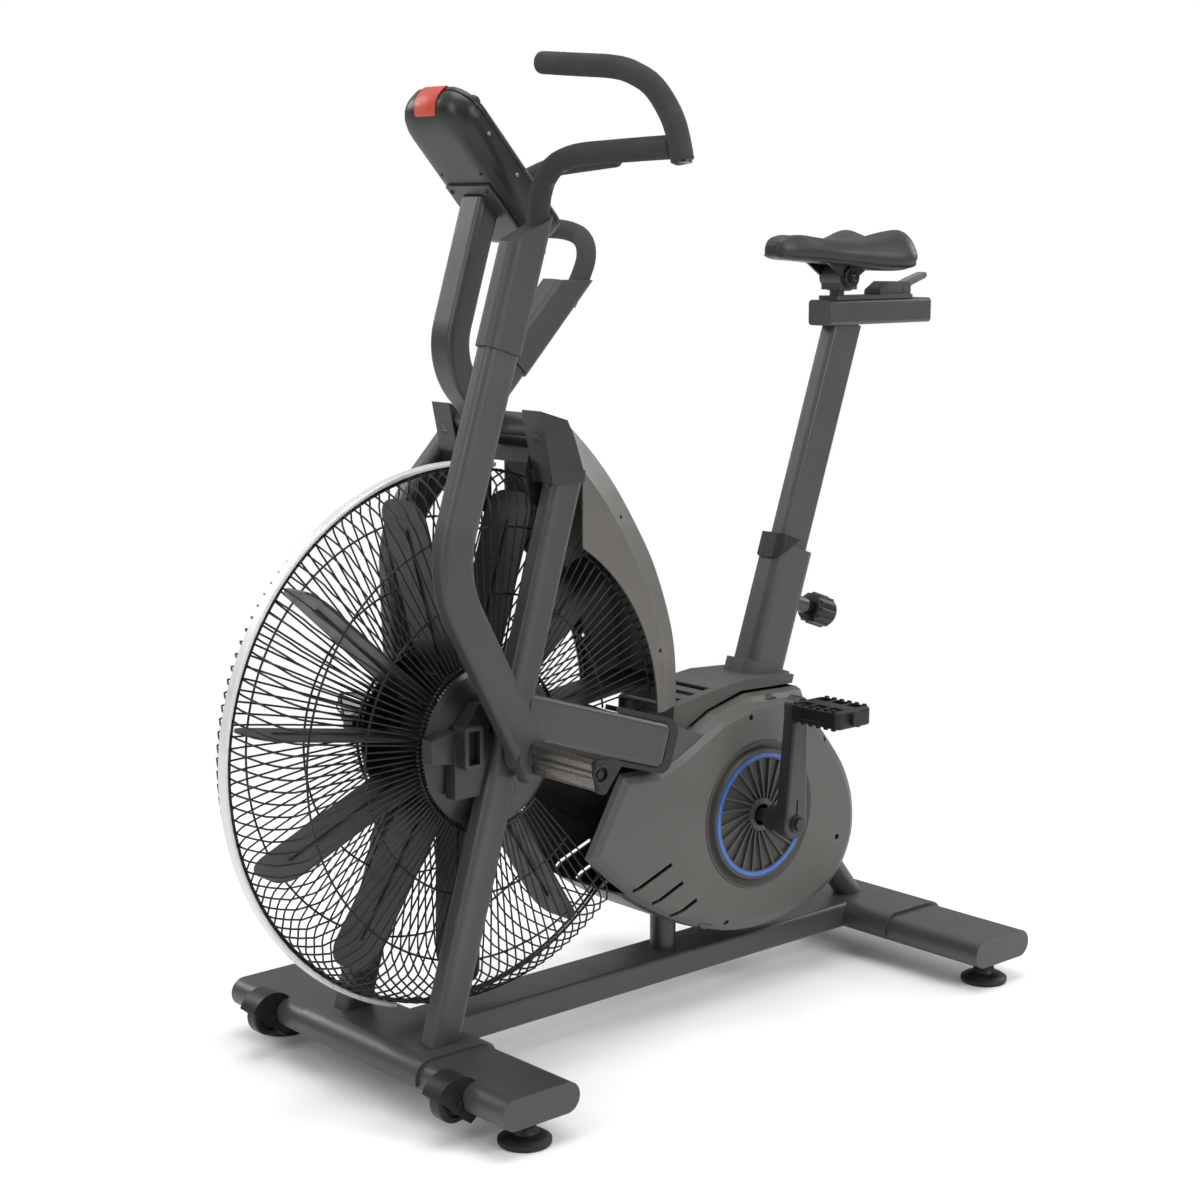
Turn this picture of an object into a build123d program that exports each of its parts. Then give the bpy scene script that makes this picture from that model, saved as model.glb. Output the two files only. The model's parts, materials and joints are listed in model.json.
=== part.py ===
from build123d import *
import math
import os

# Upright air bike: fan wheel in a wire cage, two swinging handlebar arms,
# crank drive by belt, adjustable saddle.  Millimetres, +Z up.
# X runs from the front of the bike to the rear, Y across it (+Y is the
# rider's right).  Drawing origin: centre of the front stabiliser, on the
# floor.  Export moves everything by -X_MID, so that the origin of the
# finished bike is the centre of its footprint, on the floor.

os.makedirs("parts", exist_ok=True)

# ------------------------------------------------------- shared dimensions
X_MID = 394.5           # drawing X of the middle of the whole bike
WALL = 2.5              # wall of the steel tubes
SIDES = (-1, 1)         # left, right
SIDE_NAMES = {-1: "left", 1: "right"}

REAR_X = 906.0          # rear stabiliser, from the front one
STAB_W, STAB_H, STAB_L = 124.0, 41.0, 604.0
STAB_Z = 57.0           # centre height of both stabilisers
BASE_W, BASE_H = 80.0, 38.0
BASE_Z = 42.0           # underside of the base tube
BASE_TOP = BASE_Z + BASE_H
BRACKET_GROW = 9.0      # brackets are this much larger than the stabiliser
BRACKET_TOP = STAB_Z + (STAB_H + BRACKET_GROW) / 2

POST_Y = 96.0           # centre of each front post
POST_T, POST_D = 32.0, 48.0
POST_LEAN = 0.298       # rearward run per mm of rise
POST_TOP = 812.0
BRIDGE_X, BRIDGE_Z, BRIDGE_R = 186.0, 870.0, 15.5   # tube between the post heads

FAN_X, FAN_Z = 111.0, 455.0
CAGE_Y = 70.0           # half width of the cage
CAGE_R = 362.0
HUB_R = 110.0           # hub covers
AXLE_R = 8.0

CRANK_X, CRANK_Z = 601.0, 278.0
CRANK_L = 170.0
CRANK_LEAN = 3.0        # left crank, degrees rearward of straight up
SPINDLE_R = 10.0
BIG_R, SMALL_R = 104.0, 26.0      # belt line radius on the two pulleys
BELT_Y, BELT_W, BELT_T = 57.0, 12.0, 3.0

PIVOT_X, PIVOT_Z = 121.0, 451.5   # swing axis of both arms
PIVOT_R = 12.0
PEG_Y0, PEG_Y1 = 151.0, 268.0     # foot pegs, inner and outer end

SEAT_SLOPE = 0.346      # rearward run per mm of rise
SEAT_X0, SEAT_Z0 = 677.5, 454.5
SEATPOST_D, SEATPOST_T = 60.0, 30.0
SEATTUBE_D, SEATTUBE_T = 76.0, 48.0
SEATTUBE_TOP = 650.0

UPWARD = (Align.CENTER, Align.CENTER, Align.MIN)


# ----------------------------------------------------------------- helpers
def rod(start, end, radius):
    start, end = Vector(*start), Vector(*end)
    run = end - start
    return Plane(origin=start, z_dir=run) * Cylinder(radius, run.length, align=UPWARD)


def tube(start, end, radius, wall):
    return rod(start, end, radius) - rod(start, end, radius - wall)


def cross_rod(x, z, y0, y1, radius):
    return rod((x, y0, z), (x, y1, z), radius)


def fan_rod(y0, y1, radius):
    return cross_rod(FAN_X, FAN_Z, y0, y1, radius)


def crank_rod(y0, y1, radius):
    return cross_rod(CRANK_X, CRANK_Z, y0, y1, radius)


def ring(x, z, y0, y1, inner, outer):
    return cross_rod(x, z, y0, y1, outer) - cross_rod(x, z, y0 - 1, y1 + 1, inner)


def span(side, near, far):
    """Ascending Y limits of something between two distances from the middle."""
    return sorted((side * near, side * far))


def box(x0, x1, y0, y1, z0, z1):
    return Pos((x0 + x1) / 2, (y0 + y1) / 2, (z0 + z1) / 2) * Box(x1 - x0, y1 - y0, z1 - z0)


def prism(points, y0, y1):
    """Side outline (x, z) pushed across the bike from y0 to y1."""
    face = make_face(Polyline(*[(x, 0, z) for x, z in points], close=True))
    return Pos(0, y0, 0) * extrude(face, amount=y1 - y0, dir=(0, 1, 0))


def cross_hex(x, z, y0, y1, radius):
    return Pos(x, y0, z) * (Rot(-90, 0, 0) * extrude(RegularPolygon(radius, 6), amount=y1 - y0))


def turned(x, z, side, profile):
    """Profile of (radius, distance from the middle) revolved about a cross axis."""
    face = make_face(Polyline(*[(x + radius, side * y, z) for radius, y in profile], close=True))
    return revolve(face, axis=Axis((x, 0, z), (0, 1, 0)))


def turn_about(x, z, degrees):
    """Rotation about a cross axis; positive tips the top to the rear."""
    return Pos(x, 0, z) * Rot(0, degrees, 0) * Pos(-x, 0, -z)


def rect_bar(points, depth, width, corner, wall=None, bend=None):
    """Rounded rectangular bar, or tube, along a line in a plane of constant y."""
    points = [Vector(*point) for point in points]
    path = FilletPolyline(*points, radius=bend) if bend else Line(*points)
    start = Plane(origin=points[0], x_dir=(0, 1, 0), z_dir=(points[1] - points[0]).normalized())
    body = sweep(start * RectangleRounded(width, depth, corner), path=path)
    if wall:
        bore = RectangleRounded(width - 2 * wall, depth - 2 * wall, corner - wall)
        body = body - sweep(start * bore, path=path)
    return body


def pipe(path, radius):
    return sweep(Plane(origin=path @ 0, z_dir=path % 0) * Circle(radius), path=path)


def one(shape):
    """The largest solid of the shape."""
    return sorted(shape.solids(), key=lambda solid: solid.volume)[-1]


def mirror_y(shape):
    return mirror(shape, about=Plane.XZ)


def safe_fillet(shape, edges, radius):
    # Guards against edges that cannot take the full radius: smaller ones are
    # tried in turn, and the shape stays sharp if none of them works.
    for factor in (1.0, 0.7, 0.45, 0.25):
        try:
            rounded = fillet(edges, radius * factor)
            if rounded.is_valid:
                return rounded
        except Exception:
            continue
    return shape


def save(name, *shapes):
    solids = [solid for shape in shapes for solid in shape.solids()]
    moved = Compound(children=[Pos(-X_MID, 0, 0) * solid for solid in solids])
    export_step(moved, "parts/" + name + ".step")


def stab_oval(x, grow, half):
    """Stabiliser section at x, enlarged by grow, reaching half each side."""
    plane = Plane(origin=(x, -half, STAB_Z), x_dir=(1, 0, 0), z_dir=(0, 1, 0))
    face = plane * SlotOverall(STAB_W + grow, STAB_H + grow)
    return extrude(face, amount=2 * half, dir=(0, 1, 0))


def bracket_room(x):
    return stab_oval(x, BRACKET_GROW + 0.2, 200)


def post_x(z):
    return 1.0 + POST_LEAN * (z - 82.0)


def post_bar(side, depth, width, corner=10, wall=None, z_top=860):
    y = side * POST_Y
    return rect_bar([(post_x(40), y, 40), (post_x(z_top), y, z_top)], depth, width, corner, wall)


def seat_x(z):
    return SEAT_X0 + SEAT_SLOPE * (z - SEAT_Z0)


SEAT_DIR = Vector(SEAT_SLOPE, 0, 1).normalized()


def seat_bar(z_low, z_high, depth, width, corner):
    """Rounded bar along the sloping seat line."""
    low, high = Vector(seat_x(z_low), 0, z_low), Vector(seat_x(z_high), 0, z_high)
    plane = Plane(origin=low, x_dir=(0, 1, 0), z_dir=SEAT_DIR)
    return extrude(plane * RectangleRounded(width, depth, corner), amount=(high - low).length)


# ---------------------------------------------------- base and stabilisers
FOOT_Y = 268.0          # levelling feet, each side of the middle
FOOT_R, FOOT_H = 34.5, 24.0
STUD_R = 5.0
WHEEL_X, WHEEL_Z, WHEEL_Y, WHEEL_R = -66.0, 54.0, 205.0, 27.0


def stabiliser(x):
    body = stab_oval(x, 0, STAB_L / 2) - stab_oval(x, -2 * WALL, STAB_L / 2 - 3)
    for y in (-FOOT_Y, FOOT_Y):
        # weld nut inside the tube over each foot
        body = body + Pos(x, y, STAB_Z - STAB_H / 2 + WALL + 5) * Cylinder(10, 10)
        body = body - rod((x, y, 30), (x, y, 72), STUD_R + 0.05)
    return one(body)


def stab_bracket(x, half):
    """Bracket over the top of a stabiliser, open below."""
    body = stab_oval(x, BRACKET_GROW, half) - stab_oval(x, 0.4, half + 1)
    return one(body - box(x - 90, x + 90, -half - 1, half + 1, 0, STAB_Z - 8))


front_stab = stabiliser(0.0)
for side in SIDES:      # notches for the transport wheels
    y = side * WHEEL_Y
    front_stab = front_stab - cross_rod(WHEEL_X, WHEEL_Z, y - 13, y + 13, WHEEL_R + 3)
save("front_stabiliser", one(front_stab))
save("rear_stabiliser", stabiliser(REAR_X))

front_bracket = stab_bracket(0.0, 132.0)
rear_bracket = stab_bracket(REAR_X, 127.0)
base = box(40, REAR_X - 40, -BASE_W / 2, BASE_W / 2, BASE_Z, BASE_TOP)
base = fillet(base.edges().filter_by(Axis.X), 6)
base = base - box(30, REAR_X - 30, -BASE_W / 2 + WALL, BASE_W / 2 - WALL,
                  BASE_Z + WALL, BASE_TOP - WALL)
for x in (0.0, REAR_X):
    base = base - bracket_room(x)
base = one(base)
save("base_tube", base, front_bracket, rear_bracket)

# levelling feet: bell pad on a stud, with a hexagonal nut
FOOT_PROFILE = [        # radius, height
    (0, 0), (FOOT_R - 1.5, 0), (FOOT_R, 2), (FOOT_R, 7), (FOOT_R - 6, 11),
    (18, 15), (14, FOOT_H), (0, FOOT_H),
]
foot = revolve(Plane.XZ * make_face(Polyline(*FOOT_PROFILE, close=True)), axis=Axis.Z)
foot = foot + Pos(0, 0, 22) * Cylinder(STUD_R, 44, align=UPWARD)
foot = foot + Pos(0, 0, FOOT_H) * extrude(RegularPolygon(9, 6), amount=8)
save("levelling_feet", *[one(Pos(x, y, 0) * foot)
                         for x in (0.0, REAR_X) for y in (-FOOT_Y, FOOT_Y)])


# ------------- transport wheels on the front of the front stabiliser
def transport_wheel(y):
    wheel = cross_rod(WHEEL_X, WHEEL_Z, y - 11, y + 11, WHEEL_R)
    wheel = fillet(wheel.edges().filter_by(GeomType.CIRCLE), 3)
    wheel = wheel - cross_rod(WHEEL_X, WHEEL_Z, y - 12, y + 12, 5.06)
    for k in (-1, 1):   # ring recess in each face
        recess = cross_rod(WHEEL_X, WHEEL_Z, y + k * 8, y + k * 12, 19)
        core = cross_rod(WHEEL_X, WHEEL_Z, y + k * 7, y + k * 13, 9)
        wheel = wheel - (recess - core)
    return one(wheel)


def wheel_bracket(y):
    """Two cheeks joined by a part shell over the wheel, with the pin through."""
    shell = (cross_rod(WHEEL_X, WHEEL_Z, y - 17, y + 17, 35)
             - cross_rod(WHEEL_X, WHEEL_Z, y - 13, y + 13, 31.5))
    shell = shell - Pos(WHEEL_X, y, WHEEL_Z) * Rot(0, 40, 0) * Pos(0, 0, -40) * Box(120, 60, 56)
    cheeks = (cross_rod(WHEEL_X, WHEEL_Z, y - 17, y - 13, 14)
              + cross_rod(WHEEL_X, WHEEL_Z, y + 13, y + 17, 14))
    arms = (box(WHEEL_X, -40, y - 17, y - 13, STAB_Z - 12, STAB_Z + 14)
            + box(WHEEL_X, -40, y + 13, y + 17, STAB_Z - 12, STAB_Z + 14))
    pin = cross_rod(WHEEL_X, WHEEL_Z, y - 20, y + 20, 5.0)
    return one(shell + cheeks + arms + pin - stab_oval(0, 0.2, 400))


for side in SIDES:
    save("wheel_" + SIDE_NAMES[side], transport_wheel(side * WHEEL_Y))
save("wheel_brackets", *[wheel_bracket(side * WHEEL_Y) for side in SIDES])


# ------------------------------------------------------------- front posts
def front_post(side):
    y = side * POST_Y
    post = post_bar(side, POST_D, POST_T, wall=WALL)
    post = post - box(-200, 500, -200, 200, POST_TOP, 1000)
    # gusset plate from the top of the post up to the bridge tube
    post = post + prism([(post_x(770) - 14, 770), (post_x(770) + 14, 770),
                         (post_x(POST_TOP) + 12, POST_TOP), (203, 872), (172, 884), (168, 862)],
                        y - 5, y + 5)
    # bearing block for the fan axle
    post = post + fan_rod(y - POST_T / 2 + 0.6, y + POST_T / 2 - 0.6, 17)
    post = post - fan_rod(-200, 200, AXLE_R + 0.02)
    post = post - bracket_room(0) - box(-200, 300, -200, 200, 0, STAB_Z)
    # arm pivot stub on the outer face
    post = post + cross_rod(PIVOT_X, PIVOT_Z, side * (POST_Y + POST_T / 2 - 6), side * PEG_Y0,
                            PIVOT_R)
    return one(post - fan_rod(-POST_Y - 8, POST_Y + 8, AXLE_R + 0.02))


posts = [front_post(side) for side in SIDES]
bridge = tube((BRIDGE_X, -POST_Y + 5, BRIDGE_Z), (BRIDGE_X, POST_Y - 5, BRIDGE_Z), BRIDGE_R, WALL)
save("front_posts", *posts, bridge)

# ----------------------------------------------------------------- the fan
BARREL_R, BARREL_HALF = 62.0, 46.0
BEARING_R, BEARING_L = 16.0, 11.0
SEAT_Y = BARREL_HALF - BEARING_L        # inner end of each bearing seat
BLADES = 11
BLADE_R = 336.0
BLADE_W = 92.0
BLADE_ANGLE0 = 171.0

# fixed axle between the posts, with a collar inside each post
axle = fan_rod(-POST_Y - 6, POST_Y + 6, AXLE_R)
for side in SIDES:
    axle = axle + fan_rod(*span(side, CAGE_Y - 9, POST_Y - POST_T / 2 - 0.3), 13)
save("fan_axle", one(axle))

# fan hub: barrel on two bearings, belt pulley on its right end
PULLEY_Y0, PULLEY_Y1 = BELT_Y - BELT_W / 2, BELT_Y + BELT_W / 2
hub = fan_rod(-BARREL_HALF, BARREL_HALF, BARREL_R) - fan_rod(-42, 42, 57)
hub = hub + fan_rod(-4, 4, 60)
hub = hub + fan_rod(-BARREL_HALF, 64, 20)
hub = hub + fan_rod(PULLEY_Y0 - 3, PULLEY_Y1 + 1, SMALL_R - BELT_T / 2 - 0.15)
hub = hub + fan_rod(PULLEY_Y0 - 3, PULLEY_Y0 - 0.6, SMALL_R + 4)
# clearance on the axle and the bearing seats
hub = hub - fan_rod(-60, 70, AXLE_R + 1.5)
hub = hub - fan_rod(-46.5, -SEAT_Y, BEARING_R) - fan_rod(SEAT_Y, 64.5, BEARING_R)
for k in range(6):      # lightening holes in the web
    angle = math.radians(60 * k)
    hub = hub - cross_rod(FAN_X + 40 * math.cos(angle), FAN_Z + 40 * math.sin(angle), -10, 10, 9)
save("fan_hub", one(hub))

fan_bearings = [ring(FAN_X, FAN_Z, y0, y1, AXLE_R + 0.02, BEARING_R - 0.02)
                for y0, y1 in ((-BARREL_HALF, -SEAT_Y), (SEAT_Y, BARREL_HALF))]


def fan_blade(k):
    """Flat radial paddle with rounded tip, thick root and middle rib."""
    blade = box(BARREL_R + 1, BLADE_R, -BLADE_W / 2, BLADE_W / 2, -1.6, 1.6)
    blade = fillet(blade.edges().filter_by(Axis.Z).sort_by(Axis.X)[-2:], 30)
    root = box(BARREL_R + 0.2, 90, -BLADE_W / 2 + 8, BLADE_W / 2 - 8, -4.5, 4.5)
    rib = box(80, BLADE_R - 40, -3, 3, -4, 4)
    blade = blade + root + rib
    blade = Pos(FAN_X, 0, FAN_Z) * Rot(0, -(BLADE_ANGLE0 - 360.0 * k / BLADES), 0) * blade
    return one(blade - fan_rod(-60, 60, BARREL_R + 0.05))


save("fan_blades", *[fan_blade(k) for k in range(BLADES)])

# ---------------------------------------------------------------- the cage
# Two wire guards; thin radial wires, bent over towards the middle at the
# rim, on concentric rings.  Each guard is open at the rear, where the
# drive housing stands.  Angles run from +X (rear) towards +Z.
WIRE_R = 2.0
N_WIRES = 24
WIRE_START, WIRE_END = math.radians(8.0), math.radians(-52.0 + 360)
FENDER_END = math.radians(66.0)     # the fender closes the rim below this angle
RIM_R = CAGE_R - 9
TRIM_R = 365.0                      # trim hoop round the cage
GUARD_Y = -CAGE_Y                   # outer face of the left guard
GUARD_INNER_Y = -(CAGE_Y - 3)


def fan_point(radius, angle, y):
    return Vector(FAN_X + radius * math.cos(angle), y, FAN_Z + radius * math.sin(angle))


def rim_sweep(profile, radius, start, end, y):
    """Profile swept on an arc about the fan axis."""
    plane = Plane(origin=fan_point(radius, start, y), x_dir=(0, 1, 0),
                  z_dir=(-math.sin(start), 0, math.cos(start)))
    arc = ThreePointArc(*[fan_point(radius, angle, y)
                          for angle in (start, (start + end) / 2, end)])
    return sweep(plane * profile, path=arc)


def left_guard():
    rings = [rim_sweep(Circle(wire), radius, start, WIRE_END, y) for radius, y, wire, start in (
        (RIM_R, -10, WIRE_R, FENDER_END),
        (288, GUARD_Y + 2.7, WIRE_R, WIRE_START),
        (200, GUARD_Y + 2.7, WIRE_R, WIRE_START),
        (HUB_R + 6, GUARD_INNER_Y, 3.0, WIRE_START))]
    wires = []
    for k in range(N_WIRES):
        angle = WIRE_START + (WIRE_END - WIRE_START) * (k + 0.5) / N_WIRES
        under_fender = angle < FENDER_END
        bends = [fan_point(HUB_R + 4, angle, GUARD_INNER_Y), fan_point(150, angle, GUARD_Y),
                 fan_point(312 if under_fender else 330, angle, GUARD_Y)]
        if not under_fender:
            bends.append(fan_point(RIM_R, angle + 0.02, -8))
        for n, (start, end) in enumerate(zip(bends, bends[1:])):
            overlap = (end - start).normalized() * 0.9
            wires.append(rod(start if n == 0 else start - overlap, end + overlap,
                             WIRE_R * (0.8, 0.86, 0.8)[n]))
    return one(Part() + (rings + wires))


guard_left = left_guard()
guard_right = mirror_y(guard_left)

# bright band along the front half of the rim
save("cage_ring", rim_sweep(RectangleRounded(16, 6, 2), TRIM_R, math.radians(80.0),
                            math.radians(252.0), 0))

# -------------------------------------------------------------- hub covers
COVER_PROFILE = [       # radius, distance out from CAGE_Y
    (18, 17), (40, 16), (80, 9), (104, 2), (HUB_R, -1),
    (HUB_R, -5), (103, -3), (78, 5), (40, 11), (18, 12),
]


def hub_cover(side):
    """Shallow dome, cut round the post, with a flared frame at its front."""
    cover = turned(FAN_X, FAN_Z, side, [(radius, CAGE_Y + out) for radius, out in COVER_PROFILE])
    # boss toward the post
    cover = cover + prism([(28, 400), (100, 400), (140, 520), (66, 520), (28, 470)],
                          *span(side, CAGE_Y + 10, POST_Y + 4))
    cover = cover - fan_rod(-200, 200, 18)
    cover = cover - post_bar(side, POST_D + 1.0, POST_T + 1.0) - fan_rod(-200, 200, 18)
    cover = one(cover)
    socket = prism([(34, 440), (64, 440), (64, 496), (34, 496)],
                   *span(side, CAGE_Y + 17.5, CAGE_Y + 44))
    socket = safe_fillet(socket, socket.edges().filter_by(Axis.Y), 6)
    socket = socket - prism([(40, 446), (58, 446), (58, 490), (40, 490)],
                            *span(side, CAGE_Y + 24, CAGE_Y + 45))
    socket = socket + prism([(-6, 452), (34, 446), (34, 490), (-6, 482)],
                            *span(side, CAGE_Y + 6, CAGE_Y + 26))
    return one(cover + socket)


hub_covers = [hub_cover(side) for side in SIDES]
save("cage_left", one(guard_left - hub_covers[0]))
save("cage_right", one(guard_right - hub_covers[1]))

# ------------------------------------------------------------ console mast
CONSOLE_HALF = 67.0
CONSOLE_DOWN = Vector(0.672, 0, -0.7405)    # down the console face
CONSOLE_OUT = Vector(0.7405, 0, 0.672)      # out of the face, towards the rider
CONSOLE_TOP = Vector(92, 0, 1297)           # top edge of the face


def console_point(down, out):
    point = CONSOLE_TOP + CONSOLE_DOWN * down + CONSOLE_OUT * out
    return (point.X, point.Z)


def console_prism(points, half):
    """Outline of (down the face, out of the face), pushed half each way."""
    return prism([console_point(*point) for point in points], -half, half)


def height_out(edge):
    return (edge.center() - CONSOLE_TOP).dot(CONSOLE_OUT)


def on_console_side(edge):
    return abs(abs(edge.center().Y) - CONSOLE_HALF) < 0.1


back = console_prism([(2, -9), (-3, -20), (4, -31), (36, -43), (70, -46), (196, -46),
                      (222, -42), (231, -30), (231, -9)], CONSOLE_HALF)
back = safe_fillet(back, [edge for edge in back.edges()
                          if on_console_side(edge) and height_out(edge) < -12], 12)
back = back - console_prism([(6, 1), (6, -38), (60, -41), (216, -41), (226, -30), (226, 1)],
                            CONSOLE_HALF - 3)
for down in (60, 128, 196):     # recesses for the side screws
    for side in SIDES:
        back = back - cross_rod(*console_point(down, -18), side * (CONSOLE_HALF - 1.5),
                                side * (CONSOLE_HALF + 5), 3.5)
back = one(back)
save("console_back", back)

face = console_prism([(-2, -8.8), (-4, -4), (0, 0), (228, 0), (233, -4), (231.5, -8.8)],
                     CONSOLE_HALF)
face = safe_fillet(face, face.edges().filter_by(on_console_side), 3)
face = face - console_prism([(18, 5), (18, -2), (140, -2), (140, 5)], 50)
button_x, button_z = console_point(186.0, -3.5)
button_plane = Plane(origin=(button_x, 0, button_z), z_dir=CONSOLE_OUT)
face = one(face - button_plane * Cylinder(14.4, 30))
save("console_face", face)

save("console_screen", one(console_prism(
    [(18.3, -0.6), (18.3, -1.95), (139.7, -1.95), (139.7, -0.6)], 49.7)))

button = button_plane * (Pos(0, 0, -3.3) * Cylinder(14.0, 10.5, align=UPWARD))
save("console_button", one(safe_fillet(button, button.edges().sort_by(height_out)[-1:], 1.2)))

# folded tab over the top edge
tab = console_prism([(-8, 2.5), (12, 2.5), (12, 0.3), (-5, 0.3), (-7.5, -20), (14, -44),
                     (14, -47), (-4, -34), (-10, -22)], 22)
save("console_tab", one(tab - back - face))

# bent mast from the bridge tube, with a plate behind the console back
mast = rect_bar([(176, 0, 866), (94, 0, 949), (159.0, 0, 1158.0)], 36, 45, 8, WALL, bend=88)
mast = mast - cross_rod(BRIDGE_X, BRIDGE_Z, -200, 200, BRIDGE_R + 0.1)
mast = mast + console_prism([(118, -46.1), (118, -50), (206, -50), (206, -46.1)], 43)
mast = mast - console_prism([(60, -46.05), (60, 40), (240, 40), (240, -46.05)], 100)
save("console_mast", one(mast))

# ------------------------------------------- post caps and bridge shroud
CAP_OUTER = [           # x, z
    (184, 797), (233, 797), (235, 812), (221, 852), (208, 878), (162, 892), (176, 826), (180, 815),
]
CAP_INNER = [
    (187.5, 790), (229.5, 790), (231.5, 811), (217.6, 851), (205, 875), (167, 887),
    (179.5, 826), (183, 815),
]


def post_cap(side, post):
    """Hollow cover over a post head, with a raised band round its foot."""
    y0, y1 = span(side, POST_Y - 20, POST_Y + 18)
    cap = prism(CAP_OUTER, y0, y1)
    cap = cap - prism(CAP_INNER, y0 + 2, y1 - 2)
    band = (prism([(182, 796), (236, 796), (238, 811), (178, 814)], y0 - 1.2, y1 + 1.2)
            - prism([(180, 790), (240, 790), (240, 820), (175, 820)], y0 + 0.5, y1 - 0.5))
    cap = cap + band
    cap = cap - cross_rod(BRIDGE_X, BRIDGE_Z, -91.2, 91.2, BRIDGE_R + 0.2)
    return one(cap - post - post_bar(side, POST_D - 1, POST_T - 1, corner=9, z_top=870))


caps = [post_cap(side, post) for side, post in zip(SIDES, posts)]
save("post_caps", *caps)

shroud = prism([(196, 852), (216, 852), (232, 800), (232, 730), (176, 772), (168, 812), (178, 842)],
               -POST_Y + 21, POST_Y - 21)
shroud = safe_fillet(shroud, shroud.edges().filter_by(Axis.Y), 8)
shroud = shroud - prism([(192, 700), (240, 700), (240, 838), (205, 838), (186, 815), (186, 770)],
                        -POST_Y + 24, POST_Y - 24)
shroud = shroud - fan_rod(-73, 73, 372)
shroud = shroud - bridge
for neighbour in posts + caps:
    shroud = shroud - neighbour
save("bridge_shroud", one(shroud))

# -------------------------------------------------------------- side stays
# rounded box tubes from each post back to the drive housing
STAY_FRONT, STAY_REAR = (112.0, 504.0), (396.0, 414.0)      # x, z of the ends
STAY_Y = 97.0
STAY_RUN, STAY_RISE = STAY_REAR[0] - STAY_FRONT[0], STAY_REAR[1] - STAY_FRONT[1]
STAY_L = math.hypot(STAY_RUN, STAY_RISE)
STAY_ANGLE = math.degrees(math.atan2(-STAY_RISE, STAY_RUN))


def at_stay(side, y, shape):
    """Shape drawn along +X from the origin, laid on the stay line."""
    return Pos(STAY_FRONT[0], side * y, STAY_FRONT[1]) * Rot(0, STAY_ANGLE, 0) * shape


def side_stay(side, post):
    stay = Pos(STAY_L / 2, 0, 0) * Box(STAY_L, 30, 62)
    stay = fillet(stay.edges().filter_by(Axis.X), 8)
    stay = fillet(stay.edges().filter_by(Axis.Y).sort_by(Axis.X)[-2:], 14)
    stay = stay - Pos(STAY_L / 2 - 3, 0, 0) * Box(STAY_L, 25, 57)
    stay = at_stay(side, STAY_Y, stay)
    stay = stay - post_bar(side, POST_D, POST_T)
    stay = stay - box(-100, post_x(STAY_FRONT[1]), -200, 200, 300, 700)
    return one(stay - post)


save("side_stays", *[side_stay(side, post) for side, post in zip(SIDES, posts)])
save("hub_covers", *[one(cover - at_stay(side, STAY_Y, Pos(100, 0, 0) * Box(240, 31, 64)))
                     for side, cover in zip(SIDES, hub_covers)])

# -------------------------------------------- inner frame and seat tube
PLATE_Y = 80.0          # middle of each side plate
PLATE_OUTLINE = [       # x, z
    (330, 392), (300, 440), (330, 470), (420, 440), (520, 400), (600, 420),
    (640, 438), (660, 420), (650, 330), (640, 250), (600, 238), (540, 150),
    (503, 131), (474, 141), (480, 170), (520, 250), (480, 330), (400, 380),
]
UPPER_TIE = (628, 438)  # x, z of the round bars between the plates
LOWER_TIE = (500, 138)
SHELL_BORE = 20.02      # bottom bracket shell
COLUMN_X = 490.0
STRUT_R = 19.0

inner_frame = (prism(PLATE_OUTLINE, -PLATE_Y - 2, -PLATE_Y + 2)
               + prism(PLATE_OUTLINE, PLATE_Y - 2, PLATE_Y + 2))
inner_frame = inner_frame + cross_rod(*UPPER_TIE, -PLATE_Y, PLATE_Y, 13)
inner_frame = inner_frame + cross_rod(*LOWER_TIE, -PLATE_Y, PLATE_Y, 15)
# bottom bracket shell, on a web up from the lower tie bar
bracket = ring(CRANK_X, CRANK_Z, -48, 46, SHELL_BORE, 25)
web = prism([(CRANK_X - 12, CRANK_Z), (CRANK_X + 12, CRANK_Z), (512, 138), (490, 130)], -14, 14)
bracket = (bracket + web) - crank_rod(-100, 100, SHELL_BORE)
bracket = bracket - box(0, 2000, 40, 200, 0, 200)
inner_frame = inner_frame + bracket
inner_frame = inner_frame - crank_rod(-100, -60, 24) - crank_rod(60, 100, 24)
inner_frame = inner_frame - crank_rod(-48.5, 46.5, SHELL_BORE)

KNOB_Z = 578.0          # height of the pop pin on the seat line
KNOB_CENTRE = Vector(seat_x(KNOB_Z), 0, KNOB_Z)
KNOB_DIR = Vector(1, 0, -SEAT_SLOPE).normalized()
KNOB_PLANE = Plane(origin=KNOB_CENTRE, z_dir=KNOB_DIR)


def knob_rod(start, length, radius):
    """Cylinder on the pop pin axis, from a distance behind the seat line."""
    return KNOB_PLANE * (Pos(0, 0, start) * Cylinder(radius, length, align=UPWARD))


seat_bore = seat_bar(329, SEATTUBE_TOP + 1, SEATTUBE_D - 2 * WALL, SEATTUBE_T - 2 * WALL, 12)
seat_tube = seat_bar(330, SEATTUBE_TOP, SEATTUBE_D, SEATTUBE_T, 14) - seat_bore
# guide sleeve for the seat post, fixed in the top of the tube
guide = seat_bar(560, SEATTUBE_TOP - 2, SEATTUBE_D - 2 * WALL, SEATTUBE_T - 2 * WALL, 12)
guide = guide - seat_bar(555, SEATTUBE_TOP + 5, SEATPOST_D + 0.2, SEATPOST_T + 0.2, 7.1)
seat_tube = seat_tube + guide
# boss for the pop pin on the rear face of the tube
seat_tube = seat_tube + (knob_rod(34, 34, 12) - seat_bore)
seat_tube = seat_tube - knob_rod(20, 60, 6.05)
save("seat_tube", one(seat_tube))

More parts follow.
